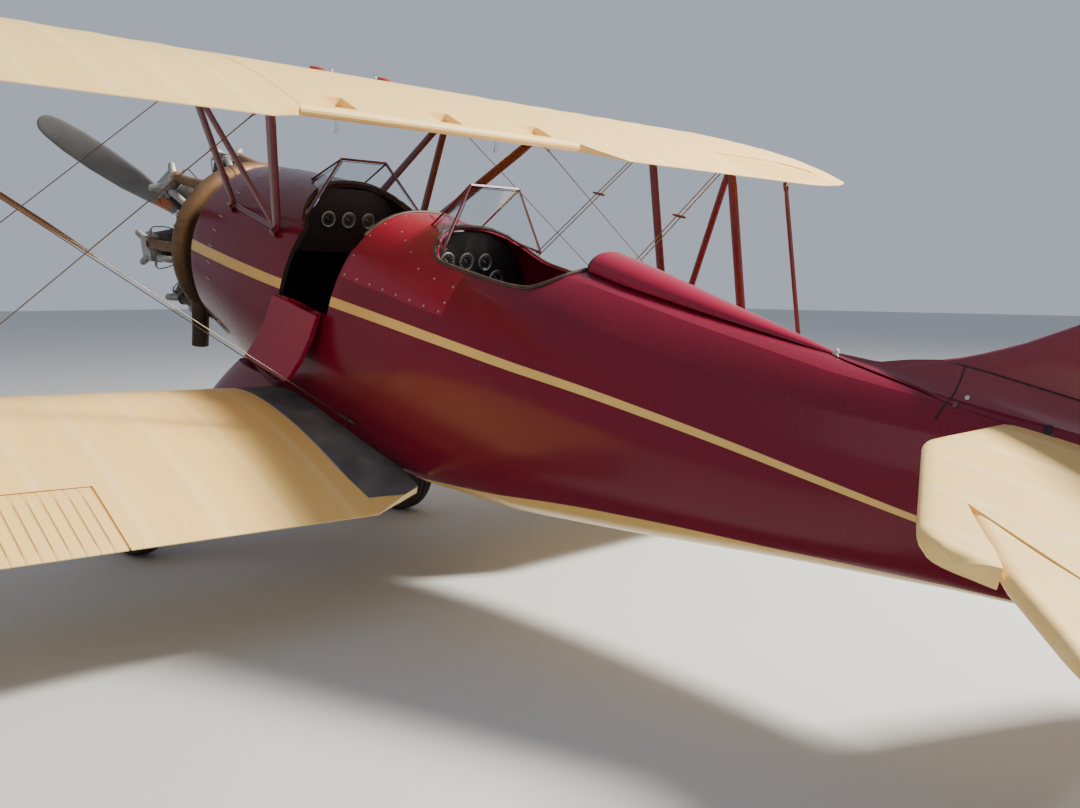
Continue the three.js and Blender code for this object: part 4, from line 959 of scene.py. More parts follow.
# Engine bearer: the CAD's steel tube mount, brush-painted black; it shows through the cowl's mouth.
repainted(black_lead, "engine_mount")

# Propeller: two forged aluminium blades held in a steel hub. Their backs are painted dull grey to
# save the pilots' eyes, with a bare leading edge and an orange band near the root.
# Columns: radius, chord, thickness, pitch in degrees
BLADE = [(0.060, 0.080, 0.074, 62), (0.110, 0.084, 0.066, 60), (0.150, 0.104, 0.060, 56), (0.300, 0.150, 0.042, 46),
         (0.500, 0.190, 0.028, 36), (0.740, 0.196, 0.020, 28), (0.940, 0.176, 0.014, 22), (1.080, 0.140, 0.010, 19),
         (1.125, 0.112, 0.009, 18.5), (1.145, 0.086, 0.008, 18), (1.158, 0.056, 0.006, 18), (1.165, 0.026, 0.005, 18)]
PROP_ANGLE = radians(29)
prop_place = SITTING @ Matrix.Translation((0, HUB_STATION, HUB_HEIGHT)) @ Matrix.Rotation(-PROP_ANGLE, 4, "Y")


def blade_ring(r):
    k = max(k for k in range(len(BLADE) - 1) if k == 0 or BLADE[k][0] <= r)
    a, b = BLADE[k], BLADE[k + 1]
    chord, thick, pitch = [a[i] + (b[i] - a[i]) * (r - a[0]) / (b[0] - a[0]) for i in (1, 2, 3)]
    turn = radians(pitch)
    ring = []
    for i in range(24):
        t = 2 * pi * i / 24
        u, v = cos(t) * chord / 2, sin(t) * thick / 2
        ring.append(Vector((r, u * sin(turn) + v * cos(turn), u * cos(turn) - v * sin(turn))))
    return ring


blade_rows = stations(0.06, 1.12, 0.03) + [1.13, 1.14, 1.148, 1.155, 1.160, 1.165]
blades = []
for k in range(2):
    blade = drawn("blade", [blade_ring(r) for r in blade_rows])
    blade.data.transform(prop_place @ Matrix.Rotation(pi * k, 4, "Y"))
    blades.append(blade)
propeller = joined("propeller_blades", blades)
edited(propeller, facing_out)
blade_paint, blade_tree, blade_shader = new_material("blade_paint", Metallic=0.0)
where = node(blade_tree, "ShaderNodeTexCoord")
hub_at = prop_place.inverted()
centred = node(blade_tree, "ShaderNodeMapping", {"Vector": where.outputs["Object"],
               "Location": tuple(-(prop_place.translation))}, vector_type="POINT")
from_hub = node(blade_tree, "ShaderNodeVectorMath", {0: centred.outputs[0]}, operation="LENGTH")
radius_at = from_hub.outputs["Value"]
band = times(blade_tree, maths(blade_tree, "GREATER_THAN", radius_at, 0.20),
             maths(blade_tree, "LESS_THAN", radius_at, 0.29))
grime = noise(blade_tree, centred.outputs[0], 6.0, 7.0)
grey = mixed(blade_tree, grime, (0.13, 0.132, 0.14, 1), (0.24, 0.24, 0.25, 1))
tinted = mixed(blade_tree, band, grey, (0.60, 0.13, 0.022, 1))
finished(blade_paint, blade_shader, metal, tinted, bump=0.1, Roughness=0.42, Stain=0.25)
bare_edge = metal_material("bare_blade_edge", (0.66, 0.67, 0.69, 1), 0.22, stain=0.2)
painted(propeller, blade_paint, bare_edge)
for face in propeller.data.polygons:
    local = hub_at @ face.center
    if abs(local.x) > 0.35:
        nose_side = (local.z if local.x > 0 else -local.z) > 0
        face.material_index = int(nose_side and (hub_at.to_3x3() @ face.normal).z * copysign(1, local.x) > 0.35)
smooth(propeller, 50)
handed_over(propeller, "propeller", "blade_metal", "propeller")

hub_body = lathed("hub", [(-0.062, 0.001), (-0.062, 0.058), (-0.058, 0.062), (-0.046, 0.076), (-0.040, 0.078),
                          (-0.012, 0.078), (-0.010, 0.072), (0.010, 0.072), (0.012, 0.078), (0.036, 0.078),
                          (0.042, 0.074), (0.042, 0.001)], 40, "Y")
hub_body.data.transform(prop_place)
clamps = []
for side in (-1, 1):
    clamp = lathed("clamp", [(0.066, 0.001), (0.066, 0.050), (0.070, 0.054), (0.100, 0.054), (0.104, 0.050),
                             (0.150, 0.046), (0.156, 0.040), (0.156, 0.001)], 28, "X")
    clamp.data.transform(prop_place @ Matrix.Scale(side, 4, (1, 0, 0)))
    clamps.append(clamp)
    edited(clamp, facing_out)
finish(joined("propeller_hub", [hub_body, *clamps]), bright_metal, 30, "propeller", "blade_metal")
hub_bolts = [prop_place @ standing(Vector((0.052 * cos(t), -0.062, 0.052 * sin(t))), (0, -1, 0), 1.6)
             for t in (2 * pi * k / 8 for k in range(8))]
screw_row("hub_bolts", hub_bolts, body="propeller", slot="blade_metal")


# Wings: spruce spars and ribs covered with doped cotton that sinks a little between the ribs. Each
# panel is drawn out from its root to its bowed tip, and the aileron's bay is cut from its rear edge.
# Columns: fraction of the chord, upper height, lower height
SECTION = [(0, 0.035, 0.035), (0.0125, 0.0545, 0.0193), (0.05, 0.079, 0.0093), (0.1, 0.096, 0.0042),
           (0.2, 0.1136, 0.0), (0.35, 0.1165, 0.0), (0.5, 0.1052, 0.0), (0.65, 0.083, 0.0), (0.8, 0.0522, 0.0),
           (0.9, 0.028, 0.0), (1, 0.003, 0.0)]
HANDS = ((1, "left"), (-1, "right"))
CHORD, INCIDENCE, RIB, RIB_START, RIB_SINK = 1.448, radians(1.3), 0.295, 0.06, 0.0035
UPPER = {"le": 1.790, "h": 1.225, "root": 0.862, "tip": 4.572, "bow": 1.672, "dihedral": 0.0}
LOWER = {"le": 2.335, "h": -0.383, "root": 0.380, "tip": 4.090, "bow": 1.400, "dihedral": 1.75}
BOW, LAST = 0.42, 0.99
HINGE, HINGE_HEIGHT, HINGE_RADIUS = 0.74, 0.031 * CHORD, 0.0295 * CHORD


def wing_place(wing, side=1):
    """From a panel's own flat frame to its place: incidence about its rear edge, then dihedral."""
    mirror = Matrix.Scale(side, 4, (1, 0, 0))
    return (SITTING @ mirror @ Matrix.Translation((0, wing["le"], wing["h"]))
            @ Matrix.Rotation(-radians(wing["dihedral"]), 4, "Y") @ Matrix.Translation((0, CHORD, 0))
            @ Matrix.Rotation(-INCIDENCE, 4, "X") @ Matrix.Translation((0, -CHORD, 0)))


def section_heights(x):
    """Upper and lower height of the section at a fraction of the chord, along a smooth curve."""
    k = max(k for k in range(len(SECTION) - 1) if SECTION[k][0] <= x + 1e-9)
    a, b = SECTION[k], SECTION[k + 1]
    t = (x - a[0]) / (b[0] - a[0])
    if k == 0:
        t_up = sqrt(t)
        return a[1] + (b[1] - a[1]) * t_up, a[2] + (b[2] - a[2]) * t_up
    before, after = SECTION[k - 1], SECTION[min(k + 2, len(SECTION) - 1)]
    def curve(i):
        slope_a = (b[i] - before[i]) / (b[0] - before[0]) * (b[0] - a[0])
        slope_b = (after[i] - a[i]) / (after[0] - a[0]) * (b[0] - a[0])
        return ((2 * t ** 3 - 3 * t ** 2 + 1) * a[i] + (t ** 3 - 2 * t ** 2 + t) * slope_a
                + (3 * t ** 2 - 2 * t ** 3) * b[i] + (t ** 3 - t ** 2) * slope_b)
    return max(curve(1), 0.003), max(curve(2), 0.0)


FRONT_STEPS = [0, 0.003, 0.0125, 0.03, 0.05, 0.075, 0.1]
STEPS = FRONT_STEPS + [0.14, 0.2, 0.27, 0.35, 0.43, 0.5, 0.58, 0.65, 0.72, 0.8, 0.86, 0.9, 0.95, 1.0]


def rib_dip(b, pitch=RIB, offset=RIB_START):
    """1 midway between two ribs and 0 on a rib."""
    phase = (b + offset) / pitch % 1
    return 4 * phase * (1 - phase)


def wing_ring(b, le, chord):
    above, below = [], []
    for x in STEPS:
        top, bottom = section_heights(x)
        sink = RIB_SINK * rib_dip(b) * min(1, x / 0.06) * min(1, (1 - x) / 0.08)
        above.append(Vector((b, le + x * chord, top * chord - sink)))
        below.append(Vector((b, le + x * chord, bottom * chord + (sink if x > 0.05 else 0))))
    return above + below[:0:-1]


def bow_at(t):
    """Front edge and chord of the tip at a share of the bow's length."""
    front = max(2 * t - 1, 0)
    rear = (1 - t ** 1.3) ** (1 / 1.3)
    le = CHORD * BOW * (1 - sqrt(1 - front ** 2))
    return le, CHORD * (BOW + (1 - BOW) * rear) - le


def wing_rings(wing):
    flat_end = wing["tip"] - wing["bow"]
    rings = [wing_ring(b, 0, CHORD) for b in stations(wing["root"], flat_end, RIB / 6)]
    for t in [0.03 * k for k in range(1, 28)] + [0.84, 0.87, 0.90, 0.925, 0.95, 0.965, 0.98, LAST]:
        le, chord = bow_at(t)
        rings.append(wing_ring(wing["tip"] - wing["bow"] * (1 - t / LAST), le, chord))
    return rings


AILERONS = {"upper": (2.306, 3.500), "lower": (1.805, 3.200)}


def aileron_bay(b0, b1, slack=0.008):
    s, front, back = HINGE * CHORD, HINGE * CHORD - 0.010, CHORD + 0.04
    bay = block("bay", ((b0 + b1) / 2, (front + back) / 2, 0.06), (b1 - b0 + 2 * slack, back - front, 0.28), 0.0001)
    nose = swept("nose_bay", [Vector((b0 - slack, s, HINGE_HEIGHT)), Vector((b1 + slack, s, HINGE_HEIGHT))],
                 HINGE_RADIUS + slack * 0.75, 32)
    return [bay, nose]


def root_wedge(wing, fraction, reach):
    outline = [(wing["root"] - 0.005, fraction * CHORD), (wing["root"] + reach, CHORD + 0.02),
               (wing["root"] - 0.005, CHORD + 0.02)]
    return prism("root_wedge", outline, -0.1, 0.25, lambda b, s, h: Vector((b, s, h)))


# The dope: cream over a fine weave, a pinked tape over every rib with its row of stitches, a cloudy
# tone and a few dark streaks.
dope, given, made = finish_group("doped_fabric", Roughness=0.42, Rib=RIB, Offset=0.0, Tape=1.0)
place, b_at, s_at, _ = shop_place(dope)
across_b = plus(dope, maths(dope, "ABSOLUTE", b_at), given.outputs["Offset"])
phase = maths(dope, "DIVIDE", across_b, given.outputs["Rib"])
near_rib = times(dope, maths(dope, "PINGPONG", phase, 0.5), given.outputs["Rib"])
jag = noise(dope, place, 160.0, 0.0)
edge = plus(dope, times(dope, jag, 0.006), 0.021)
tape = times(dope, maths(dope, "SUBTRACT", edge, near_rib), 700.0, clamp=True)
tape = times(dope, tape, given.outputs["Tape"])
stitch_phase = maths(dope, "PINGPONG", times(dope, s_at, 1 / 0.07), 0.5)
stitch = times(dope, maths(dope, "LESS_THAN", stitch_phase, 0.07),
               maths(dope, "LESS_THAN", near_rib, 0.007))
stitch = times(dope, stitch, given.outputs["Tape"])
weave = node(dope, "ShaderNodeTexWave", {"Vector": place, "Scale": 260.0, "Distortion": 0.6}, wave_type="BANDS")
cloudy = noise(dope, place, 2.2, 7.0, Roughness=0.6)
streak_place = node(dope, "ShaderNodeMapping", {"Vector": place, "Scale": (9.0, 0.8, 2.0)})
streaks = noise(dope, streak_place.outputs[0], 2.0, 4.0)
faded = mixed(dope, times(dope, cloudy, 0.35), given.outputs["Colour"], (0.74, 0.52, 0.26, 1))
faded = mixed(dope, times(dope, maths(dope, "POWER", streaks, 3.0), 0.55), faded,
              (0.50, 0.38, 0.22, 1))
faded = mixed(dope, times(dope, tape, 0.22), faded, (0.93, 0.76, 0.44, 1))
dope.links.new(faded, made.inputs["Colour"])
dope.links.new(plus(dope, given.outputs["Roughness"], times(dope, cloudy, 0.14)),
               made.inputs["Roughness"])
lift = plus(dope, times(dope, tape, 0.30), times(dope, stitch, 0.5))
dope.links.new(plus(dope, lift, times(dope, weave.outputs[0], 0.04)), made.inputs["Height"])


def dope_material(name, rib=RIB, offset=RIB_START, tape=1.0):
    made, _, shader = new_material(name, Coat_Weight=0.12, Coat_Roughness=0.25, Sheen_Weight=0.05)
    finished(made, shader, dope, CREAM, bump=0.5, distance=0.002, Roughness=0.40, Rib=rib, Offset=offset, Tape=tape)
    return made


wing_dope = dope_material("wing_dope")
walkway, walk_tree, walk_shader = new_material("walkway_grit", Specular_IOR_Level=0.3)
place, b_at, *_ = shop_place(walk_tree)
grit = noise(walk_tree, place, 420.0, 2.0)
tread = noise(walk_tree, place, 6.0, 6.0)
WALKWAY = 0.715
worn = mixed(walk_tree, maths(walk_tree, "POWER", tread, 2.0), (0.075, 0.075, 0.080, 1),
             (0.27, 0.265, 0.26, 1))
border = maths(walk_tree, "GREATER_THAN", maths(walk_tree, "ABSOLUTE", b_at), WALKWAY - 0.013)
walk_tree.links.new(mixed(walk_tree, border, worn, (0.42, 0.40, 0.36, 1)), walk_shader.inputs["Base Color"])
walk_tree.links.new(plus(walk_tree, times(walk_tree, grit, 0.3), 0.6),
                    walk_shader.inputs["Roughness"])
bumped(walk_tree, walk_shader, grit, 0.6, 0.0015)

for part, wing, fraction, reach in (("upper", UPPER, 0.88, 0.25), ("lower", LOWER, 0.89, 0.37)):
    for side, hand in HANDS:
        panel = drawn(f"{part}_wing_{hand}_skin", wing_rings(wing))
        cut_from(panel, *aileron_bay(*AILERONS[part]), root_wedge(wing, fraction, reach))
        if part == "lower":
            edge = [(WALKWAY, -0.01), (WALKWAY, 0.76 * CHORD), (WALKWAY - 0.045, 0.99 * CHORD), (0.30, CHORD + 0.02),
                    (0.30, -0.01)]
            strip = panel.copy()
            strip.data = panel.data.copy()
            bpy.context.collection.objects.link(strip)
            keep = prism("walkway_outline", edge, 0.03, 0.30, lambda b, s, h: Vector((b, s, h)))
            with_modifier(strip, "BOOLEAN", operation="INTERSECT", object=keep, solver="EXACT")
            bpy.data.objects.remove(keep, do_unlink=True)
            strip.data.transform(Matrix.Translation((0, 0, 0.0012)))
            strip.data.transform(wing_place(wing, side))
            strip.name = f"walkway_{hand}"
            edited(strip, facing_out)
            finish(strip, walkway, 25, "airframe", "black_paint")
        panel.data.transform(wing_place(wing, side))
        edited(panel, facing_out)
        finish(panel, wing_dope, 25, "airframe", "cream_paint", f"{part}_wing_{hand}")

# Ailerons: riveted duralumin sheet with pressed grooves running fore and aft, hung on a round nose by
# a pin at each end. A horn takes the rod that joins the upper and lower one on each side.
GROOVE = 0.0505
PUSH_B, PUSH_REACH, PUSH_LOW, PUSH_HIGH = 2.761, 0.290, 0.084, -0.024


def aileron_skin(name, wing, b0, b1, hand_side):
    flat_end = wing["tip"] - wing["bow"]
    rings = []
    grooves = [b0 + GROOVE * k for k in range(int((b1 - b0) / GROOVE) + 1)]
    rows = {round(g + d, 5) for g in grooves for d in (-0.0045, -0.0015, 0.0015, 0.0045, 0.014, 0.025, 0.036)}
    for b in sorted({b0, b1, *(r for r in rows if b0 < r < b1)}):
        if b <= flat_end:
            le, chord = 0, CHORD
        else:
            le, chord = bow_at((b - flat_end) / wing["bow"] * LAST)
        first = (HINGE * CHORD - le) / chord
        near_groove = min(abs(b - g) for g in grooves[1:])
        rise = 0.0018 - 0.0040 * max(0, 1 - max(0, near_groove - 0.0015) / 0.003)
        top0, low0 = section_heights(first)
        middle, half = (top0 + low0) / 2 * chord, (top0 - low0) / 2 * chord - 0.003
        upper, lower = [], []
        for k in range(13):
            x = first + (1 - first) * k / 12
            top, low = section_heights(min(x, 1))
            fade = min(1, k / 2, (12 - k) / 2)
            taper = 0.003 * (1 - k / 12)
            upper.append(Vector((b, le + x * chord, top * chord - taper - 0.0008 + (rise - 0.0018) * fade)))
            lower.append(Vector((b, le + x * chord, low * chord + taper * 0.5 - (rise - 0.0018) * fade * 0.4)))
        front = []
        for k in range(1, 8):
            t = pi / 2 + pi * k / 8
            front.append(Vector((b, HINGE * CHORD + half * 0.95 * cos(t), middle + half * sin(t))))
        rings.append(front[::-1] + upper + lower[:0:-1])
    piece = drawn(name, rings)
    piece.data.transform(wing_place(wing, hand_side))
    edited(piece, facing_out)
    return piece


for part, wing in (("upper", UPPER), ("lower", LOWER)):
    sheet_cream, sheet_tree, sheet_shader = new_material(f"{part}_sheet", Coat_Weight=0.15, Coat_Roughness=0.2)
    _, b_at, *_ = shop_place(sheet_tree)
    pitch = GROOVE * cos(radians(wing["dihedral"]))
    from_end = maths(sheet_tree, "SUBTRACT", maths(sheet_tree, "ABSOLUTE", b_at), AILERONS[part][0])
    phase = maths(sheet_tree, "DIVIDE", from_end, pitch)
    near = times(sheet_tree, maths(sheet_tree, "PINGPONG", phase, 0.5), pitch)
    # Painted shade: a thin dark line along each pressed groove stands for the shade in it.
    groove_shade = times(sheet_tree, maths(sheet_tree, "SUBTRACT", 0.0045, near), 400.0, clamp=True)
    shade = mixed(sheet_tree, times(sheet_tree, groove_shade, 0.65), CREAM, (0.30, 0.19, 0.08, 1))
    finished(sheet_cream, sheet_shader, dope, shade, bump=0.2, distance=0.001, Roughness=0.38, Rib=GROOVE, Tape=0.0)
    for side, hand in HANDS:
        own_body = f"{part}_aileron_{hand}"
        skin = aileron_skin(own_body + "_skin", wing, *AILERONS[part], side)
        finish(skin, sheet_cream, 40, own_body, "cream_paint", own_body)
        b0, b1 = AILERONS[part]
        own = wing_place(wing, side)
        s, z = HINGE * CHORD, HINGE_HEIGHT
        pins = [swept("pin", [own @ Vector((b + d, s, z)), own @ Vector((b + e, s, z))], 0.009, 14)
                for b, d, e in ((b0, -0.0076, 0.006), (b1, -0.006, 0.0076))]
        upward = part == "lower"
        x, h = s + PUSH_REACH, PUSH_LOW if upward else PUSH_HIGH
        low, high = (0.020, h + 0.013) if upward else (h - 0.013, 0.020)
        horn = block("horn", (PUSH_B, x, (low + high) / 2), (0.008, 0.026, high - low), 0.0015)
        horn.data.transform(own)
        fitting = joined(own_body + "_fittings", [*pins, horn])
        edited(fitting, facing_out)
        finish(fitting, screw_steel, 35, own_body, "cream_paint")

# Centre section: the fuel tank's middle of the upper wing, plywood covered, with a blunt rear edge
# that ends in a round bar and three hand grips let into it. Two red caps close the tanks.
GRIPS, BLUNT = (-0.618, 0.0, 0.618), 0.87
rings = []
for b in stations(-0.8608, 0.8608, 0.05):
    steps = [x for x in STEPS if x < BLUNT - 0.01] + [BLUNT]
    top_end = section_heights(BLUNT)[0]
    above = [Vector((b, x * CHORD, section_heights(x)[0] * CHORD)) for x in steps]
    end = [Vector((b, (BLUNT + top_end * 0.5 * cos(t)) * CHORD, (0.5 + 0.5 * sin(t)) * top_end * CHORD))
           for t in (pi * (0.5 - k / 7) for k in range(1, 7))]
    below = [Vector((b, x * CHORD, section_heights(x)[1] * CHORD)) for x in steps]
    rings.append(above + end + below[:0:-1])
middle_wing = drawn("centre_section_skin", rings)
for grip in GRIPS:
    pocket = block("pocket", (grip, 0.81 * CHORD, 0.028 * CHORD + 0.1), (0.144, 0.10 * CHORD, 0.2), 0.012)
    cut_from(middle_wing, pocket)
middle_wing.data.transform(wing_place(UPPER))
finish(middle_wing, dope_material("tank_dope", tape=0.0), 25, "airframe", "cream_paint", "centre_section")

tank_place = wing_place(UPPER)
cap_enamel = glossy("cap_enamel", (0.30, 0.02, 0.015, 1), 0.3, 0.2, 0.2, Coat_Weight=0.3)
caps = []
for side in (-1, 1):
    cap = lathed("cap", [(0.150, 0.001), (0.150, 0.048), (0.168, 0.048), (0.170, 0.040), (0.180, 0.040),
                         (0.1815, 0.038), (0.182, 0.026), (0.1835, 0.024), (0.1835, 0.001)], 28)
    cap.data.transform(tank_place @ Matrix.Translation((side * 0.21, 0.33, 0)))
    caps.append(cap)
fuel_caps = joined("fuel_caps", caps)
finish(fuel_caps, cap_enamel, 35, "airframe", "cream_paint")
vents = [swept("vent", [tank_place @ Vector(p) for p in ((b, 0.36, 0.15), (b, 0.36, 0.176), (b, 0.352, 0.184),
               (b, 0.335, 0.186))], 0.005, 10) for b in (-0.14, 0.14)]
finish(joined("tank_vents", vents), screw_steel, 40, "airframe", "cream_paint")
gauges = []
for b in (-0.5, 0.5):
    gauges.append(lathed("gauge", [(-0.001, 0.001), (-0.001, 0.016), (-0.012, 0.016), (-0.014, 0.008),
                                   (-0.070, 0.008), (-0.074, 0.011), (-0.080, 0.011), (-0.082, 0.001)], 18))
    gauges[-1].data.transform(tank_place @ Matrix.Translation((b, 1.02, 0.0)))
finish(joined("fuel_gauges", gauges), glass, 40, "airframe", "cream_paint")

# Interplane struts: an N of streamlined steel tube on each side between the upper and lower spars.
# Each tube thins towards its ends, where a fork and a bolt hold it to a lug that stands out of the wing.
def streamlined(name, start, end, chord, thick, ends=0.6, sides=22):
    """A teardrop tube between two points, its long way fore and aft, drawn in towards both ends."""
    along = (end - start).normalized()
    fore = (tail_ward - along * tail_ward.dot(along)).normalized()
    other = along.cross(fore)
    length = (end - start).length
    rings = []
    for share in (0, 0.02, 0.05, 0.09, 0.14, 0.22, 0.35, 0.5, 0.65, 0.78, 0.86, 0.91, 0.95, 0.98, 1):
        reach = min(share, 1 - share) * length
        size = ends + (1 - ends) * min(1, reach / (0.10 if length > 0.4 else 0.03)) ** 0.7
        ring = []
        for k in range(sides):
            turn = 2 * pi * k / sides
            u, v = cos(turn), sin(turn)
            ring.append(start + along * share * length + fore * (u * chord * size / 2)
                        + other * (v * (1 - 0.38 * u) * thick * (0.75 + 0.25 * size) / 2.1))
        rings.append(ring)
    return drawn(name, rings)


def on_wing(side, wing, b, fraction, height):
    return wing_place(wing, side) @ Vector((b, CHORD * fraction, height))


def fork(point, towards, wide=0.020, plate=0.0045, long=0.066):
    """A pair of rounded lugs with their bolt at one end of a strut, as a list of pieces."""
    along = (towards - point).normalized()
    fore = (tail_ward - along * tail_ward.dot(along)).normalized()
    other = along.cross(fore)
    made = []
    for side in (-1, 1):
        rings = []
        for depth in (0, plate):
            middle = point + other * side * (wide / 2 + depth)
            rings.append([middle + along * (long / 2 * cos(t) * (1.0 if cos(t) > 0 else 0.75))
                          + fore * 0.017 * sin(t) for t in (2 * pi * k / 20 for k in range(20))])
        made.append(drawn("lug", rings))
        head_at = point + other * side * (wide / 2 + plate + 0.001)
        made.append(copies("bolt", screw, [standing(head_at, other * side, 1.7)]))
    return made


SPARS, STRUT_B = (0.1, 0.61), 2.772
fitting_steel = metal_material("fitting_steel", (0.16, 0.10, 0.09, 1), 0.4, stain=0.5, metallic=0.6)
for side, hand in HANDS:
    top_front, top_rear = [on_wing(side, UPPER, STRUT_B, f, 0.025) for f in SPARS]
    low_front, low_rear = [on_wing(side, LOWER, STRUT_B, f, h) for f, h in zip(SPARS, (0.070, 0.050))]
    tubes, forks = [], []
    for start, end, chord, thick in ((top_front, low_front, 0.074, 0.027), (top_rear, low_rear, 0.074, 0.027),
                                     (top_rear, low_front, 0.056, 0.023)):
        along = (end - start).normalized()
        upper_end, lower_end = start + along * 0.034, end - along * 0.088
        tubes.append(streamlined("tube", upper_end, lower_end, chord, thick))
        forks += fork(upper_end + along * 0.004, end) + fork(lower_end - along * 0.004, start)
    finish(joined(f"interplane_struts_{hand}", tubes), strut_paint, 50, "airframe",
           "strut_paint", f"interplane_{hand}")
    finish(joined(f"interplane_forks_{hand}", forks), fitting_steel, 35, "airframe", "steel")

# Cabane: an N of tubes and a short rail on each side that carry the centre section over the cockpits.
CABANE_B, CABANE_FRACTIONS, CABANE_FEET = 0.831, (0.116, 0.671), ((0.428, 1.782, 0.630), (0.458, 2.300, 0.600))
for side, hand in HANDS:
    front, rear = [on_wing(side, UPPER, CABANE_B, f, 0.022) for f in CABANE_FRACTIONS]
    foot_a, foot_b = [level(side * b, s, h) for b, s, h in CABANE_FEET]
    tubes = [streamlined("tube", front, foot_a, 0.064, 0.029), streamlined("tube", front, foot_b, 0.056, 0.026),
             streamlined("tube", rear, foot_b, 0.072, 0.031), swept("rail", [foot_a, foot_b], 0.0145, 16)]
    sockets = []
    for foot, (b, s, h) in ((foot_a, CABANE_FEET[0]), (foot_b, CABANE_FEET[1])):
        sockets.append(swept("socket", [foot, level(side * (b + 0.03), s, h - 0.022)], [0.019, 0.022], 18))
        sockets.append(copies("ball", screw, [standing(foot, foot - level(0, s, h), 3.2)]))
    for start, end in ((front, foot_a), (rear, foot_b)):
        sockets += fork(start + (end - start).normalized() * 0.035, end, wide=0.022)
    finish(joined(f"cabane_struts_{hand}", tubes), strut_paint, 50, "airframe", "strut_paint",
           f"cabane_{hand}")
    finish(joined(f"cabane_fittings_{hand}", sockets), strut_paint, 35, "airframe", "strut_paint")

# Aileron rods: a streamlined bar with a yoke of two cheeks at each end, pinned to the lower aileron.
for side, hand in HANDS:
    fraction = HINGE + PUSH_REACH / CHORD
    low, high = on_wing(side, LOWER, PUSH_B, fraction, PUSH_LOW), on_wing(side, UPPER, PUSH_B, fraction, PUSH_HIGH)
    along, out = (high - low).normalized(), Vector((1, 0, 0))
    parts = [streamlined("bar", low + along * 0.032, high - along * 0.032, 0.034, 0.0165, ends=0.75)]
    for end, inward in ((low, along), (high, -along)):
        for cheek in (-0.014, 0.014):
            parts.append(streamlined("cheek", end - inward * 0.011 + out * cheek, end + inward * 0.044 + out * cheek,
                                     0.024, 0.006, ends=0.85))
        yoke = [end + inward * 0.036 + out * d for d in (-0.0165, 0.0165)]
        parts.append(swept("yoke", yoke, 0.0095, 14))
        for face in (-1, 1):
            parts.append(copies("pin_head", screw, [standing(end + out * face * 0.018, out * face, 1.4)]))
    parts.append(swept("pin", [low - out * 0.0165, low + out * 0.0165], 0.0055, 14))
    rod_piece = joined(f"aileron_push_rod_{hand}", parts)
    finish(rod_piece, strut_paint, 45, f"aileron_rod_{hand}", "strut_paint", f"aileron_rod_{hand}")

# Bracing wires: flat streamlined steel wires, screwed into forks at both ends. The flying wires, which
# carry the lift, are doubled, and a slim wooden stick across them, three quarters of the way out, keeps
# each pair apart. The rear pair on the port side has a longer varnished stick lying along it as well.
WIRE_B, WIRE_FOOT, WIRE_FEET = 2.702, -0.150, (2.480, 3.210)
wire_steel = metal_material("wire_steel", (0.20, 0.165, 0.13, 1), 0.30, stain=0.5, bump=0.05)
spacer_wood = glossy("varnished_wood", (0.16, 0.075, 0.045, 1), 0.4, 0.4, 0.2, Coat_Weight=0.15)


def flat_wire(start, end, wide=0.0105, thick=0.0036):
    """A lens-shaped wire with round threaded ends and a clevis at each."""
    along = (end - start).normalized()
    fore = (tail_ward - along * tail_ward.dot(along)).normalized()
    other = along.cross(fore)
    length = (end - start).length
    rings = []
    for d, w, t in ((0.0, 0.004, 0.004), (0.075, 0.004, 0.004), (0.13, wide / 2, thick / 2),
                    (length - 0.13, wide / 2, thick / 2), (length - 0.075, 0.004, 0.004), (length, 0.004, 0.004)):
        rings.append([start + along * d + fore * w * cos(k * pi / 6) + other * t * sin(k * pi / 6)
                      for k in range(12)])
    parts = [drawn("wire", rings)]
    for tip, inward in ((start, along), (end, -along)):
        parts.append(swept("clevis", [tip - inward * 0.012, tip + inward * 0.004, tip + inward * 0.030,
                                      tip + inward * 0.040], [0.007, 0.009, 0.0085, 0.005], 12))
        parts.append(swept("nut", [tip + inward * 0.048, tip + inward * 0.060], 0.0072, 6))
    return parts


for side, hand in HANDS:
    for plane, spar, cabane, foot in zip(("front", "rear"), SPARS, CABANE_FRACTIONS, WIRE_FEET):
        low = level(side * (side_at(foot, WIRE_FOOT) + 0.006), foot, WIRE_FOOT)
        high = on_wing(side, UPPER, WIRE_B, spar, -0.004)
        pair = []
        for apart in (-0.017, 0.017):
            pair += flat_wire(low + tail_ward * apart, high + tail_ward * apart)
        for end in (low, high):
            pair.append(swept("lug_bar", [end - tail_ward * 0.026, end + tail_ward * 0.026], 0.0065, 12))
        finish(joined(f"flying_wires_{plane}_{hand}", pair), wire_steel, 45, "airframe", "wire",
               f"flying_wire_{plane}_{hand}")
        if side == 1 and plane == "rear":
            shares = (0.515, 0.525, 0.56, 0.60, 0.68, 0.76, 0.775)
            stick = swept("wire_spacer_left", [low.lerp(high, k) for k in shares],
                          [0.003, 0.006, 0.0085, 0.011, 0.011, 0.0085, 0.003], 14)
            finish(stick, spacer_wood, 50, "airframe", "strut_paint")
        top = on_wing(side, UPPER, CABANE_B + 0.04, cabane + 0.01, -0.004)
        bottom = on_wing(side, LOWER, WIRE_B, spar + 0.03, section_heights(spar + 0.03)[0] * CHORD + 0.004)
        single = flat_wire(top, bottom)
        finish(joined(f"landing_wires_{plane}_{hand}", single), wire_steel, 45, "airframe", "wire",
               f"landing_wire_{plane}_{hand}")
        spread_at = low.lerp(high, 0.755)
        bar = [spread_at + tail_ward * d for d in (-0.058, -0.052, -0.03, 0, 0.03, 0.052, 0.058)]
        spreader = swept(f"wire_spreader_{plane}_{hand}", bar,
                         [0.003, 0.0065, 0.009, 0.010, 0.009, 0.0065, 0.003], 14)
        finish(spreader, strut_paint, 50, "airframe", "strut_paint")

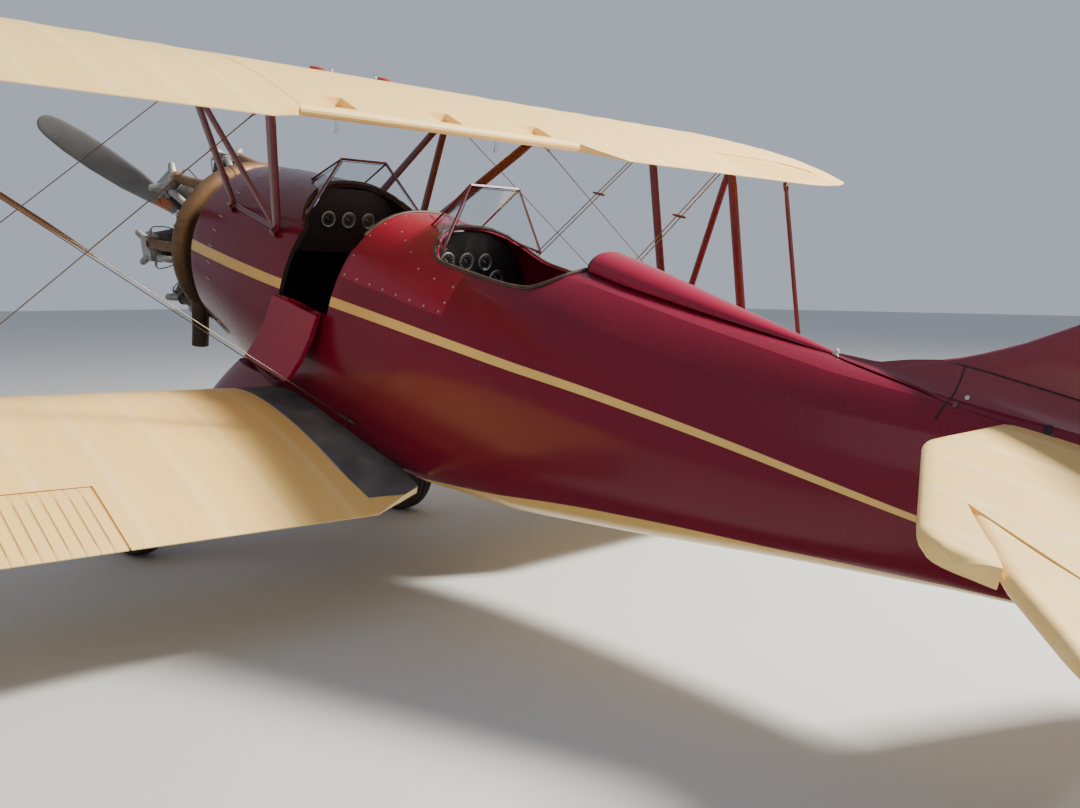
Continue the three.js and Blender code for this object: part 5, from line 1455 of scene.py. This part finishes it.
# Tail surfaces: ribbed frames covered with doped fabric, with rounded edges. Each is drawn out rib by
# rib; the fixed ones are full to their rear edge, and the moving ones thin to a sharp one.
FIXED = [(0, 0), (0.008, 0.34), (0.025, 0.60), (0.06, 0.80), (0.12, 0.93), (0.22, 1), (0.35, 1), (0.5, 1),
         (0.65, 0.97), (0.8, 0.92), (0.92, 0.86), (0.985, 0.78), (1, 0.66)]
MOVING = [(0, 0), (0.012, 0.55), (0.035, 0.86), (0.07, 1), (0.14, 0.97), (0.25, 0.86), (0.4, 0.69), (0.55, 0.52),
          (0.7, 0.37), (0.85, 0.22), (0.95, 0.13), (0.99, 0.10), (1, 0.05)]
TAIL_RIB, TAIL_RIB_START, TAIL_HEIGHT = 0.27, 0.08, 0.745


def along_line(line, at):
    """Value of a broken line of point pairs at a place."""
    if at <= line[0][0]:
        return line[0][1]
    for (a, u), (b, v) in zip(line, line[1:]):
        if at <= b:
            return u + (v - u) * (at - a) / max(b - a, 1e-9)
    return line[-1][1]


def cover_sink(at, x):
    """How far the tail's fabric sinks between two ribs at a share of the chord."""
    return 0.0048 * rib_dip(at, TAIL_RIB, TAIL_RIB_START) * min(1, x / 0.15) * min(1, (1 - x) / 0.15)


def ribbed(name, spots, front, rear, shape, half, place, edge=None):
    """A surface drawn out from rib to rib; front and rear give its edges at each place."""
    rings = []
    for at in spots:
        f, r = along_line(front, at), along_line(rear, at)
        chord = max(r - f, 0.004)
        thick = half * (edge(at) if edge else 1)
        above, below = [], []
        for x, t in shape:
            above.append(place(at, f + x * chord, thick * t - cover_sink(at, x)))
            below.append(place(at, f + x * chord, cover_sink(at, x) - thick * t))
        rings.append(above + below[:0:-1])
    return drawn(name, rings)


def spots_for(low, high, *more):
    return sorted({round(x, 5) for x in (*stations(low, high, TAIL_RIB / 8), *more)})


def round_tip(tip, depth):
    """Thickness share that falls to nothing at the tip in a half round."""
    return lambda at: sqrt(max(0.0004, 1 - max(0, 1 - (tip - at) / depth) ** 2))


tail_dope = dope_material("tail_dope", rib=TAIL_RIB, offset=TAIL_RIB_START)
PLANE_FRONT = [(0.034, 5.975), (0.54, 5.975), (0.585, 5.983), (0.63, 6.000), (1.24, 6.300), (1.29, 6.328),
               (1.33, 6.366), (1.352, 6.405), (1.362, 6.440)]
PLANE_REAR = [(0.034, 6.688), (1.2475, 6.688), (1.335, 6.530), (1.355, 6.478), (1.362, 6.446)]
HORN_FRONT = [(1.0441, 6.326), (1.200, 6.437), (1.345, 6.540), (1.585, 6.765), (1.625, 6.810), (1.645, 6.850),
              (1.652, 6.900)]
HORN_REAR = [(0.110, 6.714), (0.135, 6.760), (0.390, 7.194), (0.42, 7.200), (0.800, 7.200), (1.300, 7.150),
             (1.44, 7.105), (1.540, 7.055), (1.61, 6.99), (1.640, 6.945), (1.652, 6.905)]
LEAF_FRONT, LEAF_END, LEAF_HALF = 6.712, 1.2602, 0.024
NOTCH = [(1.036, 6.312), (1.195, 6.4255), (1.340, 6.529), (1.45, 6.60), (1.45, 6.75), (1.2485, 6.700)]
LEAF_STEPS = [0, 0.003, 0.009, 0.020, 0.040, 0.07, 0.11, 0.17, 0.25, 0.34, 0.43, 0.53, 0.63, 0.74, 0.85, 0.94,
              0.985, 1]


def leaf(spots, front, place, edge=None):
    """Part of an elevator: as thick as its spar ahead of the hinge, and thinning evenly behind it."""
    rings = []
    for at in spots:
        f, r = along_line(front, at), along_line(HORN_REAR, at)
        chord = max(r - f, 0.004)
        above, below = [], []
        for x in LEAF_STEPS:
            nose = sqrt(1 - (1 - min(1, x * chord / 0.025)) ** 2)
            behind = (f + x * chord - LEAF_FRONT) / max(r - LEAF_FRONT, 0.02)
            thick = LEAF_HALF * nose * max(0.05, 1 - 0.95 * max(0, behind)) * (edge(at) if edge else 1)
            sink = min(cover_sink(at, x), thick * 0.6)
            above.append(place(at, f + x * chord, thick - sink))
            below.append(place(at, f + x * chord, sink - thick))
        rings.append(above + below[:0:-1])
    return drawn("leaf", rings)


halves, barrels = [], []
for side, hand in HANDS:
    def lying(b, s, z):
        return level(side * b, s, TAIL_HEIGHT + z)
    plane = ribbed(f"tailplane_{hand}_skin",
                   spots_for(0.034, 1.362, 1.2345, 1.25, 1.28, 1.31, 1.335, 1.345, 1.352, 1.358, 1.361),
                   PLANE_FRONT, PLANE_REAR, FIXED, 0.030, lying, round_tip(1.362, 0.03))
    cut_from(plane, prism("notch", NOTCH, -0.08, 0.08, lying))
    edited(plane, facing_out)
    finish(plane, tail_dope, 32, "airframe", "cream_paint", f"tailplane_{hand}")
    horn = leaf(spots_for(1.0441, 1.652, 1.345, 1.585, 1.62, 1.64, 1.648, 1.651), HORN_FRONT, lying,
                round_tip(1.652, 0.03))
    inboard = [(1.030, 6.299), (LEAF_END, 6.7116), (LEAF_END, 7.35), (1.00, 7.35), (1.00, 6.299)]
    cut_from(horn, prism("inboard", inboard, -0.08, 0.08, lying))
    halves += [horn, leaf(spots_for(0.110, LEAF_END), [(0, LEAF_FRONT)], lying)]
    for b in (0.36, 0.86):
        barrels.append(swept("barrel", [lying(b - 0.035, 6.700, 0), lying(b + 0.035, 6.700, 0)], 0.0116, 18))
        barrels.append(block("lug", (side * b, 6.711, TAIL_HEIGHT), (0.05, 0.02, 0.016), 0.002))
        barrels[-1].data.transform(SITTING)
elevator_skin = joined("elevator_skins", halves)
edited(elevator_skin, facing_out)
finish(elevator_skin, tail_dope, 32, "elevators", "cream_paint", "elevators")
barrels.append(swept("tube", [level(-0.14, 6.730, TAIL_HEIGHT), level(0.14, 6.730, TAIL_HEIGHT)], 0.015, 20))
finish(joined("elevator_hinges", barrels), fitting_steel, 35, "elevators", "cream_paint")

# Fin and rudder: fabric over steel tube, painted with the fuselage. The rudder hangs on three barrels
# and is cut away round the elevators' torque tube.
fin_red = glossy("tail_red", RED, 0.17, 0.8, 0.10, Coat_Weight=0.35, Coat_Roughness=0.08)
FIN_FRONT = [(0.70, 5.500), (0.782, 5.520), (0.838, 5.600), (0.915, 5.790), (1.0, 5.940), (1.105, 6.090),
             (1.240, 6.260), (1.410, 6.420), (1.540, 6.540), (1.590, 6.622)]
RUDDER_FRONT = [(0.296, 6.654), (1.62, 6.654), (1.64, 6.680), (1.660, 6.730), (1.668, 6.800)]
RUDDER_REAR = [(0.296, 6.980), (0.32, 7.08), (0.372, 7.190), (0.520, 7.330), (0.62, 7.372), (0.720, 7.400),
               (0.83, 7.408), (0.950, 7.410), (1.07, 7.388), (1.190, 7.350), (1.410, 7.230), (1.570, 7.080),
               (1.63, 6.98), (1.660, 6.890), (1.668, 6.804)]


def upright_at(h, s, b):
    return level(b, s, h)


fin_skin = ribbed("fin_skin", spots_for(0.70, 1.590, 1.56, 1.58, 1.587), FIN_FRONT,
                  [(0.7, 6.626), (1.59, 6.626)], FIXED, 0.026, upright_at, round_tip(1.592, 0.03))
finish(fin_skin, fin_red, 40, "airframe", "maroon_paint", "fin")
rudder_skin = ribbed("rudder_skin", spots_for(0.296, 1.668, 0.30, 0.31, 1.6, 1.63, 1.65, 1.66, 1.665),
                     RUDDER_FRONT, RUDDER_REAR, MOVING, 0.022, upright_at,
                     lambda at: sqrt(max(0.002, 1 - max(0, 1 - min(at - 0.294, 1.670 - at) / 0.02) ** 2)))
tube_room = [(6.62, 0.685), (6.80, 0.685), (6.80, 0.805), (6.62, 0.805)]
cut_from(rudder_skin, prism("tube_room", tube_room, -0.06, 0.06, crosswise))
finish(rudder_skin, fin_red, 40, "rudder", "maroon_paint", "rudder")
hinges = []
for h in (0.370, 1.0, 1.5):
    hinges.append(swept("barrel", [level(0, 6.640, h - 0.04), level(0, 6.640, h + 0.04)], 0.0116, 18))
    hinges.append(block("lug", (0, 6.652, h), (0.016, 0.024, 0.06), 0.002))
    hinges[-1].data.transform(SITTING)
finish(joined("rudder_hinges", hinges), fitting_steel, 35, "rudder", "maroon_paint")

# Root fairing: a saddle of sheet that fills the corner between the rear deck and the fin and hides
# the fin's blunt nose, with a dark seam against the fin and screws along its foot.
SADDLE_FOOT = [(5.30, 0.015), (5.50, 0.050), (5.80, 0.088), (6.20, 0.080), (6.40, 0.058), (6.60, 0.031)]
SADDLE_NECK = [(5.30, 0.003), (5.68, 0.005), (5.735, 0.016), (5.78, 0.0235), (5.90, 0.0265), (6.60, 0.0275)]
SADDLE_TOP = [(5.30, 0.794), (5.50, 0.812), (5.60, 0.850), (5.72, 0.885), (5.86, 0.889), (6.60, 0.886)]


def saddle_point(s, share, side=1, proud=0.0):
    """Point on the saddle's hollow curve, from its foot on the deck to its neck against the fin."""
    foot, neck, top = (along_line(line, s) for line in (SADDLE_FOOT, SADDLE_NECK, SADDLE_TOP))
    low = deck_height(foot, s) + 0.0012
    turn = share * pi / 2
    return level(side * (neck + (foot - neck) * (1 - sin(turn)) + proud), s,
                 low + (top - low) * (1 - cos(turn)) + proud)


saddle = drawn("fin_root_saddle", [
    [saddle_point(s, k / 8) for k in range(9)] + [saddle_point(s, k / 8, -1) for k in range(8, -1, -1)]
    for s in stations(5.30, 6.60, 0.026)])
finish(saddle, fin_red, 30, "airframe", "maroon_paint")
saddle_screws = []
for side, hand in HANDS:
    seam = [saddle_point(s, 1, side, 0.0006) for s in stations(5.76, 6.60, 0.06)]
    joint = [level(side * b, 5.80, deck_height(b, 5.80) + 0.0008) for b in (0.134, 0.130, 0.122, 0.110, 0.100, 0.090)]
    joint += [saddle_point(5.80, k / 6, side, 0.0006) for k in range(7)]
    for name, path, radius in ((f"fin_seam_{hand}", seam, 0.0022), (f"tail_joint_{hand}", joint, 0.0026)):
        finish(swept(name, path, radius, 6), inside_paint, 60, "airframe", "maroon_paint")
    for s in (5.845, 6.05, 6.20, 6.35, 6.50):
        share = 0.45 if s < 6 else 0.10
        toward = saddle_point(s, share + 0.05, side) - saddle_point(s, share - 0.05, side)
        normal = toward.cross(tail_ward) * -side
        normal = normal if normal.z > 0 else -normal
        saddle_screws.append(standing(saddle_point(s, share, side), normal, 1.5 if s < 6 else 0.8))
screw_row("saddle_screws", saddle_screws)

# Cable outlets on the rear deck: on each side a thin dark plate, painted shade standing for the slot
# where the rudder cable comes out over a small lug, and a bracket ahead of it.
exit_shade_plates, lugs = [], []
for side in (1, -1):
    for pieces, s, h, size in ((exit_shade_plates, 6.12, 0.760, (0.024, 0.095, 0.003)),
                               (lugs, 6.135, 0.764, (0.009, 0.030, 0.016)),
                               (lugs, 5.83, 0.771, (0.016, 0.022, 0.012))):
        spot, out = side_point(s, h, side)
        piece = block("exit", (0, 0, 0), size, min(size) * 0.3)
        piece.data.transform(Matrix.Translation(spot) @ out.to_track_quat("Z", "Y").to_matrix().to_4x4())
        pieces.append(piece)
finish(joined("cable_exit_shade_plates", exit_shade_plates), inside_paint, 40, "airframe", "black_paint")
finish(joined("cable_lugs", lugs), fitting_steel, 40, "airframe", "steel")

# Tail braces and lamp: the strut that stays each tailplane from below, and the small lamp on the tip of
# the headrest.
for side, hand in HANDS:
    top, foot = level(side * 0.760, 6.430, TAIL_HEIGHT - 0.028), level(side * side_at(6.240, 0.330), 6.240, 0.330)
    brace = streamlined(f"tail_brace_{hand}_tube", top, foot, 0.044, 0.019)
    finish(brace, strut_paint, 50, "airframe", "strut_paint", f"tail_brace_{hand}")
lens = glossy("lamp_lens", (0.55, 0.50, 0.45, 1), 0.12, 0.2, 0.2, Coat_Weight=0.6)
lamp = lathed("tail_lamp", [(-0.005, 0.001), (-0.005, 0.016), (0.0024, 0.016), (0.005, 0.0128), (0.012, 0.0108),
                            (0.019, 0.0064), (0.021, 0.001)], 24)
lamp.data.transform(standing(level(0, 5.335, deck_height(0, 5.335)), level(0, 0, 1) - level(0, 0, 0)))
finish(lamp, lens, 45, "airframe", "maroon_paint")

# Landing gear: two cantilever legs in beaten sheet fairings, each with a rear stay and a wheel on a
# stub axle. The fairing is a smooth teardrop that narrows from the body to the axle.
WHEEL_B, WHEEL_S, WHEEL_RADIUS, WHEEL_WIDTH = 0.910, 1.850, 0.305, 0.190
GROUND = (WHEEL_S * sin(TILT) - DATUM_HEIGHT) / cos(TILT)
AXLE = GROUND + WHEEL_RADIUS / cos(TILT)
# Columns: buttline, station, height, chord, thickness
LEG = [(0.340, 2.060, -0.230, 0.440, 0.120), (0.440, 1.990, -0.400, 0.430, 0.112),
       (0.640, 1.890, -0.760, 0.330, 0.092), (0.775, 1.855, AXLE + 0.040, 0.220, 0.078),
       (0.800, 1.850, AXLE - 0.034, 0.120, 0.060)]


def leg_row(k):
    """A row of the fairing at a running number, on a smooth curve through the rows."""
    i = min(int(k), len(LEG) - 2)
    t = k - i
    before, a, b, after = LEG[max(i - 1, 0)], LEG[i], LEG[i + 1], LEG[min(i + 2, len(LEG) - 1)]
    return [(2 * p + (q - o) * t + (2 * o - 5 * p + 4 * q - r) * t * t + (3 * p - o - 3 * q + r) * t ** 3) / 2
            for o, p, q, r in zip(before, a, b, after)]


def leg_ring(k, side):
    b, s, h, chord, thick = leg_row(k)
    ring = []
    for i in range(36):
        turn = 2 * pi * i / 36
        u, v = cos(turn), sin(turn)
        ring.append(level(side * (b + v * (1 - 0.30 * u) * thick / 2.1), s + u * chord / 2 + chord * 0.06, h))
    return ring


gear_red = glossy("gear_red", RED, 0.24, 0.6, 0.35, Coat_Weight=0.35, Coat_Roughness=0.1)
for side, hand in HANDS:
    rows = [k / 6 for k in range(0, 24)] + [3.95, 4.0]
    leg = drawn(f"gear_fairing_{hand}", [leg_ring(k, side) for k in rows])
    stay = streamlined("stay", level(side * 0.735, WHEEL_S + 0.03, AXLE + 0.03), level(side * 0.330, 2.900, -0.375),
                       0.054, 0.029)
    finish(joined(f"gear_fairing_{hand}", [leg, stay]), gear_red, 40, "airframe", "maroon_paint",
           f"gear_leg_{hand}")
    stub = swept("stub", [level(side * b, WHEEL_S, AXLE) for b in (0.72, 0.76, 1.000, 1.006)],
                 [0.022, 0.022, 0.022, 0.018], 24)
    nut = swept("axle_nut", [level(side * b, WHEEL_S, AXLE) for b in (1.004, 1.019)], 0.017, 6)
    finish(joined(f"axle_{hand}", [stub, nut]), bright_metal, 30, "airframe", "steel")
    foot, out = side_point(2.36, -0.32, side)
    peg = swept(f"boarding_peg_{hand}", [foot - out * 0.01, foot + out * 0.02, foot + out * 0.075, foot + out * 0.08],
                [0.012, 0.012, 0.012, 0.009], 16)
    finish(peg, black_lead, 40, "airframe", "black_paint")

# Main wheels: cast aluminium rims in two halves, held by a ring of bolts, with a brake drum inboard,
# and low-pressure tyres with three grooves round the tread.
W = WHEEL_WIDTH / 2
RIM = [(-W + 0.034, 0.0232), (-W + 0.034, 0.046), (-W + 0.036, 0.080), (-W + 0.040, 0.114), (-W + 0.034, 0.120),
       (-W + 0.010, 0.134), (-W + 0.007, 0.140), (-W + 0.007, 0.150), (-W + 0.010, 0.1525), (-W + 0.016, 0.150),
       (-0.036, 0.136), (-0.030, 0.134), (0.030, 0.134), (0.036, 0.136), (W - 0.016, 0.150), (W - 0.010, 0.1525),
       (W - 0.007, 0.150), (W - 0.007, 0.140), (W - 0.012, 0.134), (W - 0.028, 0.120), (W - 0.031, 0.112),
       (W - 0.026, 0.080), (W - 0.020, 0.050), (W - 0.012, 0.046), (W - 0.012, 0.036), (W - 0.018, 0.030),
       (W - 0.018, 0.0232)]
TYRE = [(-W + 0.010, 0.1535), (-W + 0.004, 0.160), (-W + 0.001, 0.182), (-W, 0.215), (-W + 0.003, 0.245),
        (-W + 0.010, 0.268), (-W + 0.020, 0.283), (-0.058, 0.2955), (-0.040, 0.3010), (-0.0385, 0.2960),
        (-0.0335, 0.2965), (-0.032, 0.3025), (-0.010, 0.3048), (-0.0085, 0.2990), (-0.0035, 0.2990), (-0.002, 0.305)]
TYRE += [(-x, radius) for x, radius in TYRE[::-1]] + [(0.030, 0.1365), (-0.030, 0.1365)]


def turned_ring(name, profile, sides, place):
    """A closed profile of offset and radius turned about X into a hollow ring."""
    rings = []
    for offset, radius in profile:
        rings.append([place @ Vector((offset, radius * cos(t), radius * sin(t)))
                      for t in (2 * pi * k / sides for k in range(sides))])
    return drawn(name, rings, closed=True)


rubber, rubber_tree, rubber_shader = new_material("tyre_rubber", Specular_IOR_Level=0.35)
place, _, _, h_at = shop_place(rubber_tree)
scuff = noise(rubber_tree, place, 45.0, 7.0, Roughness=0.7)
soil = node(rubber_tree, "ShaderNodeMapRange", {"Value": h_at, "From Min": -0.95, "From Max": -1.35})
dust_share = times(rubber_tree, maths(rubber_tree, "POWER", scuff, 2.0),
                   plus(rubber_tree, soil.outputs[0], 0.5), clamp=True)
rubber_tree.links.new(mixed(rubber_tree, dust_share, (0.012, 0.012, 0.013, 1), (0.16, 0.13, 0.10, 1)),
                      rubber_shader.inputs["Base Color"])
rubber_tree.links.new(plus(rubber_tree, times(rubber_tree, scuff, 0.25), 0.6),
                      rubber_shader.inputs["Roughness"])
bumped(rubber_tree, rubber_shader, scuff, 0.3, 0.001)
rim_metal = metal_material("rim_metal", (0.50, 0.50, 0.49, 1), 0.34, stain=0.6)
for side, hand in HANDS:
    at = SITTING @ Matrix.Translation((side * WHEEL_B, WHEEL_S, AXLE)) @ Matrix.Scale(side, 4, (1, 0, 0))
    rim = turned_ring(f"wheel_{hand}_rim", RIM, 64, at)
    spots = [Vector((W - 0.0285, 0.098 * cos(t), 0.098 * sin(t)))
             for t in (2 * pi * k / 12 for k in range(12))]
    bolts = copies("rim_bolts", screw, [at @ standing(spot, (1, 0, 0.0001), 1.5) for spot in spots])
    rim = joined(f"wheel_{hand}_rim", [rim, bolts])
    edited(rim, facing_out)
    finish(rim, rim_metal, 30, f"wheel_{hand}", "rim_metal", f"wheel_rim_{hand}")
    tyre = turned_ring(f"wheel_{hand}_tyre", TYRE, 96, at)
    finish(tyre, rubber, 35, f"wheel_{hand}", "tyre", f"tyre_{hand}")

# Tailwheel: a solid tyre in a steel fork that turns in an upright bearing, carried by a pack of flat
# spring leaves and a brace under the tail.
SWIVEL_FORWARD, TAIL_WIDTH = 0.074, 0.078
castor = Vector(next(j["pos_m"] for j in frame["record"]["behaviour"]["joints"] if j["name"] == "tailwheel_spin"))
castor.x = 0


def by_castor(b, y, z):
    return castor + Vector((b, y, z))


fork_parts = []
for b in (-0.052, 0.052):
    fork_parts.append(streamlined("cheek", by_castor(b, 0, -0.010), by_castor(b, -SWIVEL_FORWARD + 0.010, 0.156),
                                  0.044, 0.0095, ends=0.8))
crown = block("crown", (0, 0, 0), (0.116, 0.062, 0.018), 0.004)
crown.data.transform(Matrix.Translation(by_castor(0, -SWIVEL_FORWARD + 0.003, 0.155)))
fork_parts.append(crown)
fork_parts.append(swept("post", [by_castor(0, -SWIVEL_FORWARD, z) for z in (0.15, 0.168, 0.228, 0.232)],
                        [0.018, 0.018, 0.018, 0.015], 24))
fork_parts.append(swept("spindle", [by_castor(b, 0, 0) for b in (-0.058, 0.058)], 0.009, 16))
for b in (-1, 1):
    fork_parts.append(swept("nut", [by_castor(b * 0.0565, 0, 0), by_castor(b * 0.0665, 0, 0)], 0.013, 6))
fork_steel = metal_material("fork_steel", (0.13, 0.12, 0.115, 1), 0.42, stain=0.6, metallic=0.7)
finish(joined("tailwheel_fork", fork_parts), fork_steel, 35, "tail_fork", "steel", "tail_fork")

T = TAIL_WIDTH / 2
CASTOR = [(-T + 0.008, 0.011), (-T + 0.008, 0.050), (-T + 0.002, 0.056), (-T, 0.075), (-T + 0.003, 0.098),
          (-T + 0.010, 0.112), (-T + 0.018, 0.119), (-0.010, 0.1245)]
CASTOR += [(0, 0.125)] + [(-x, radius) for x, radius in CASTOR[::-1]]
tyre = turned_ring("tailwheel_tyre", CASTOR, 64, Matrix.Translation(castor))
painted(tyre, rubber, rim_metal)
for face in tyre.data.polygons:
    face.material_index = int((face.center - castor - Vector((face.center.x, 0, 0))).length < 0.049)
handed_over(smooth(tyre, 35), "tail_wheel", "tyre", "tail_tyre")


def head(rise):
    return by_castor(0, -SWIVEL_FORWARD, rise)


bearing = swept("bearing", [head(z) for z in (0.170, 0.173, 0.242, 0.246)], [0.029, 0.032, 0.032, 0.029], 28)
cut_from(bearing, swept("bore", [head(0.160), head(0.236)], 0.0195, 28))
LEAF_EDGE = [(-0.034, -0.004), (0.034, -0.004), (0.035, -0.003), (0.035, 0.003), (0.034, 0.004), (-0.034, 0.004),
             (-0.035, 0.003), (-0.035, -0.003)]
leaves = []
for k in range(4):
    start, end = head(0.206 - 0.010 * k) + tail_ward * -0.030, level(0, 6.150 + 0.09 * k, 0.240 - 0.011 * k)
    along = (end - start).normalized()
    rise = Vector((1, 0, 0)).cross(along).normalized()
    rings = []
    for share in (0, 0.5, 1):
        middle = start + (end - start) * share - rise * 0.004 * sin(pi * share)
        rings.append([middle + Vector((u, 0, 0)) + rise * v for u, v in LEAF_EDGE])
    leaves.append(drawn("leaf", rings))
tail_stay = swept("tail_stay", [head(0.218) - tail_ward * 0.026, level(0, 6.470, 0.315)], [0.0165, 0.0165], 20)
finish(joined("tailwheel_spring", [bearing, *leaves, tail_stay]), fork_steel, 35, "airframe", "steel",
       "tail_bracket")

# The screw master isn't a piece of the aircraft, so it goes.
bpy.data.objects.remove(screw, do_unlink=True)
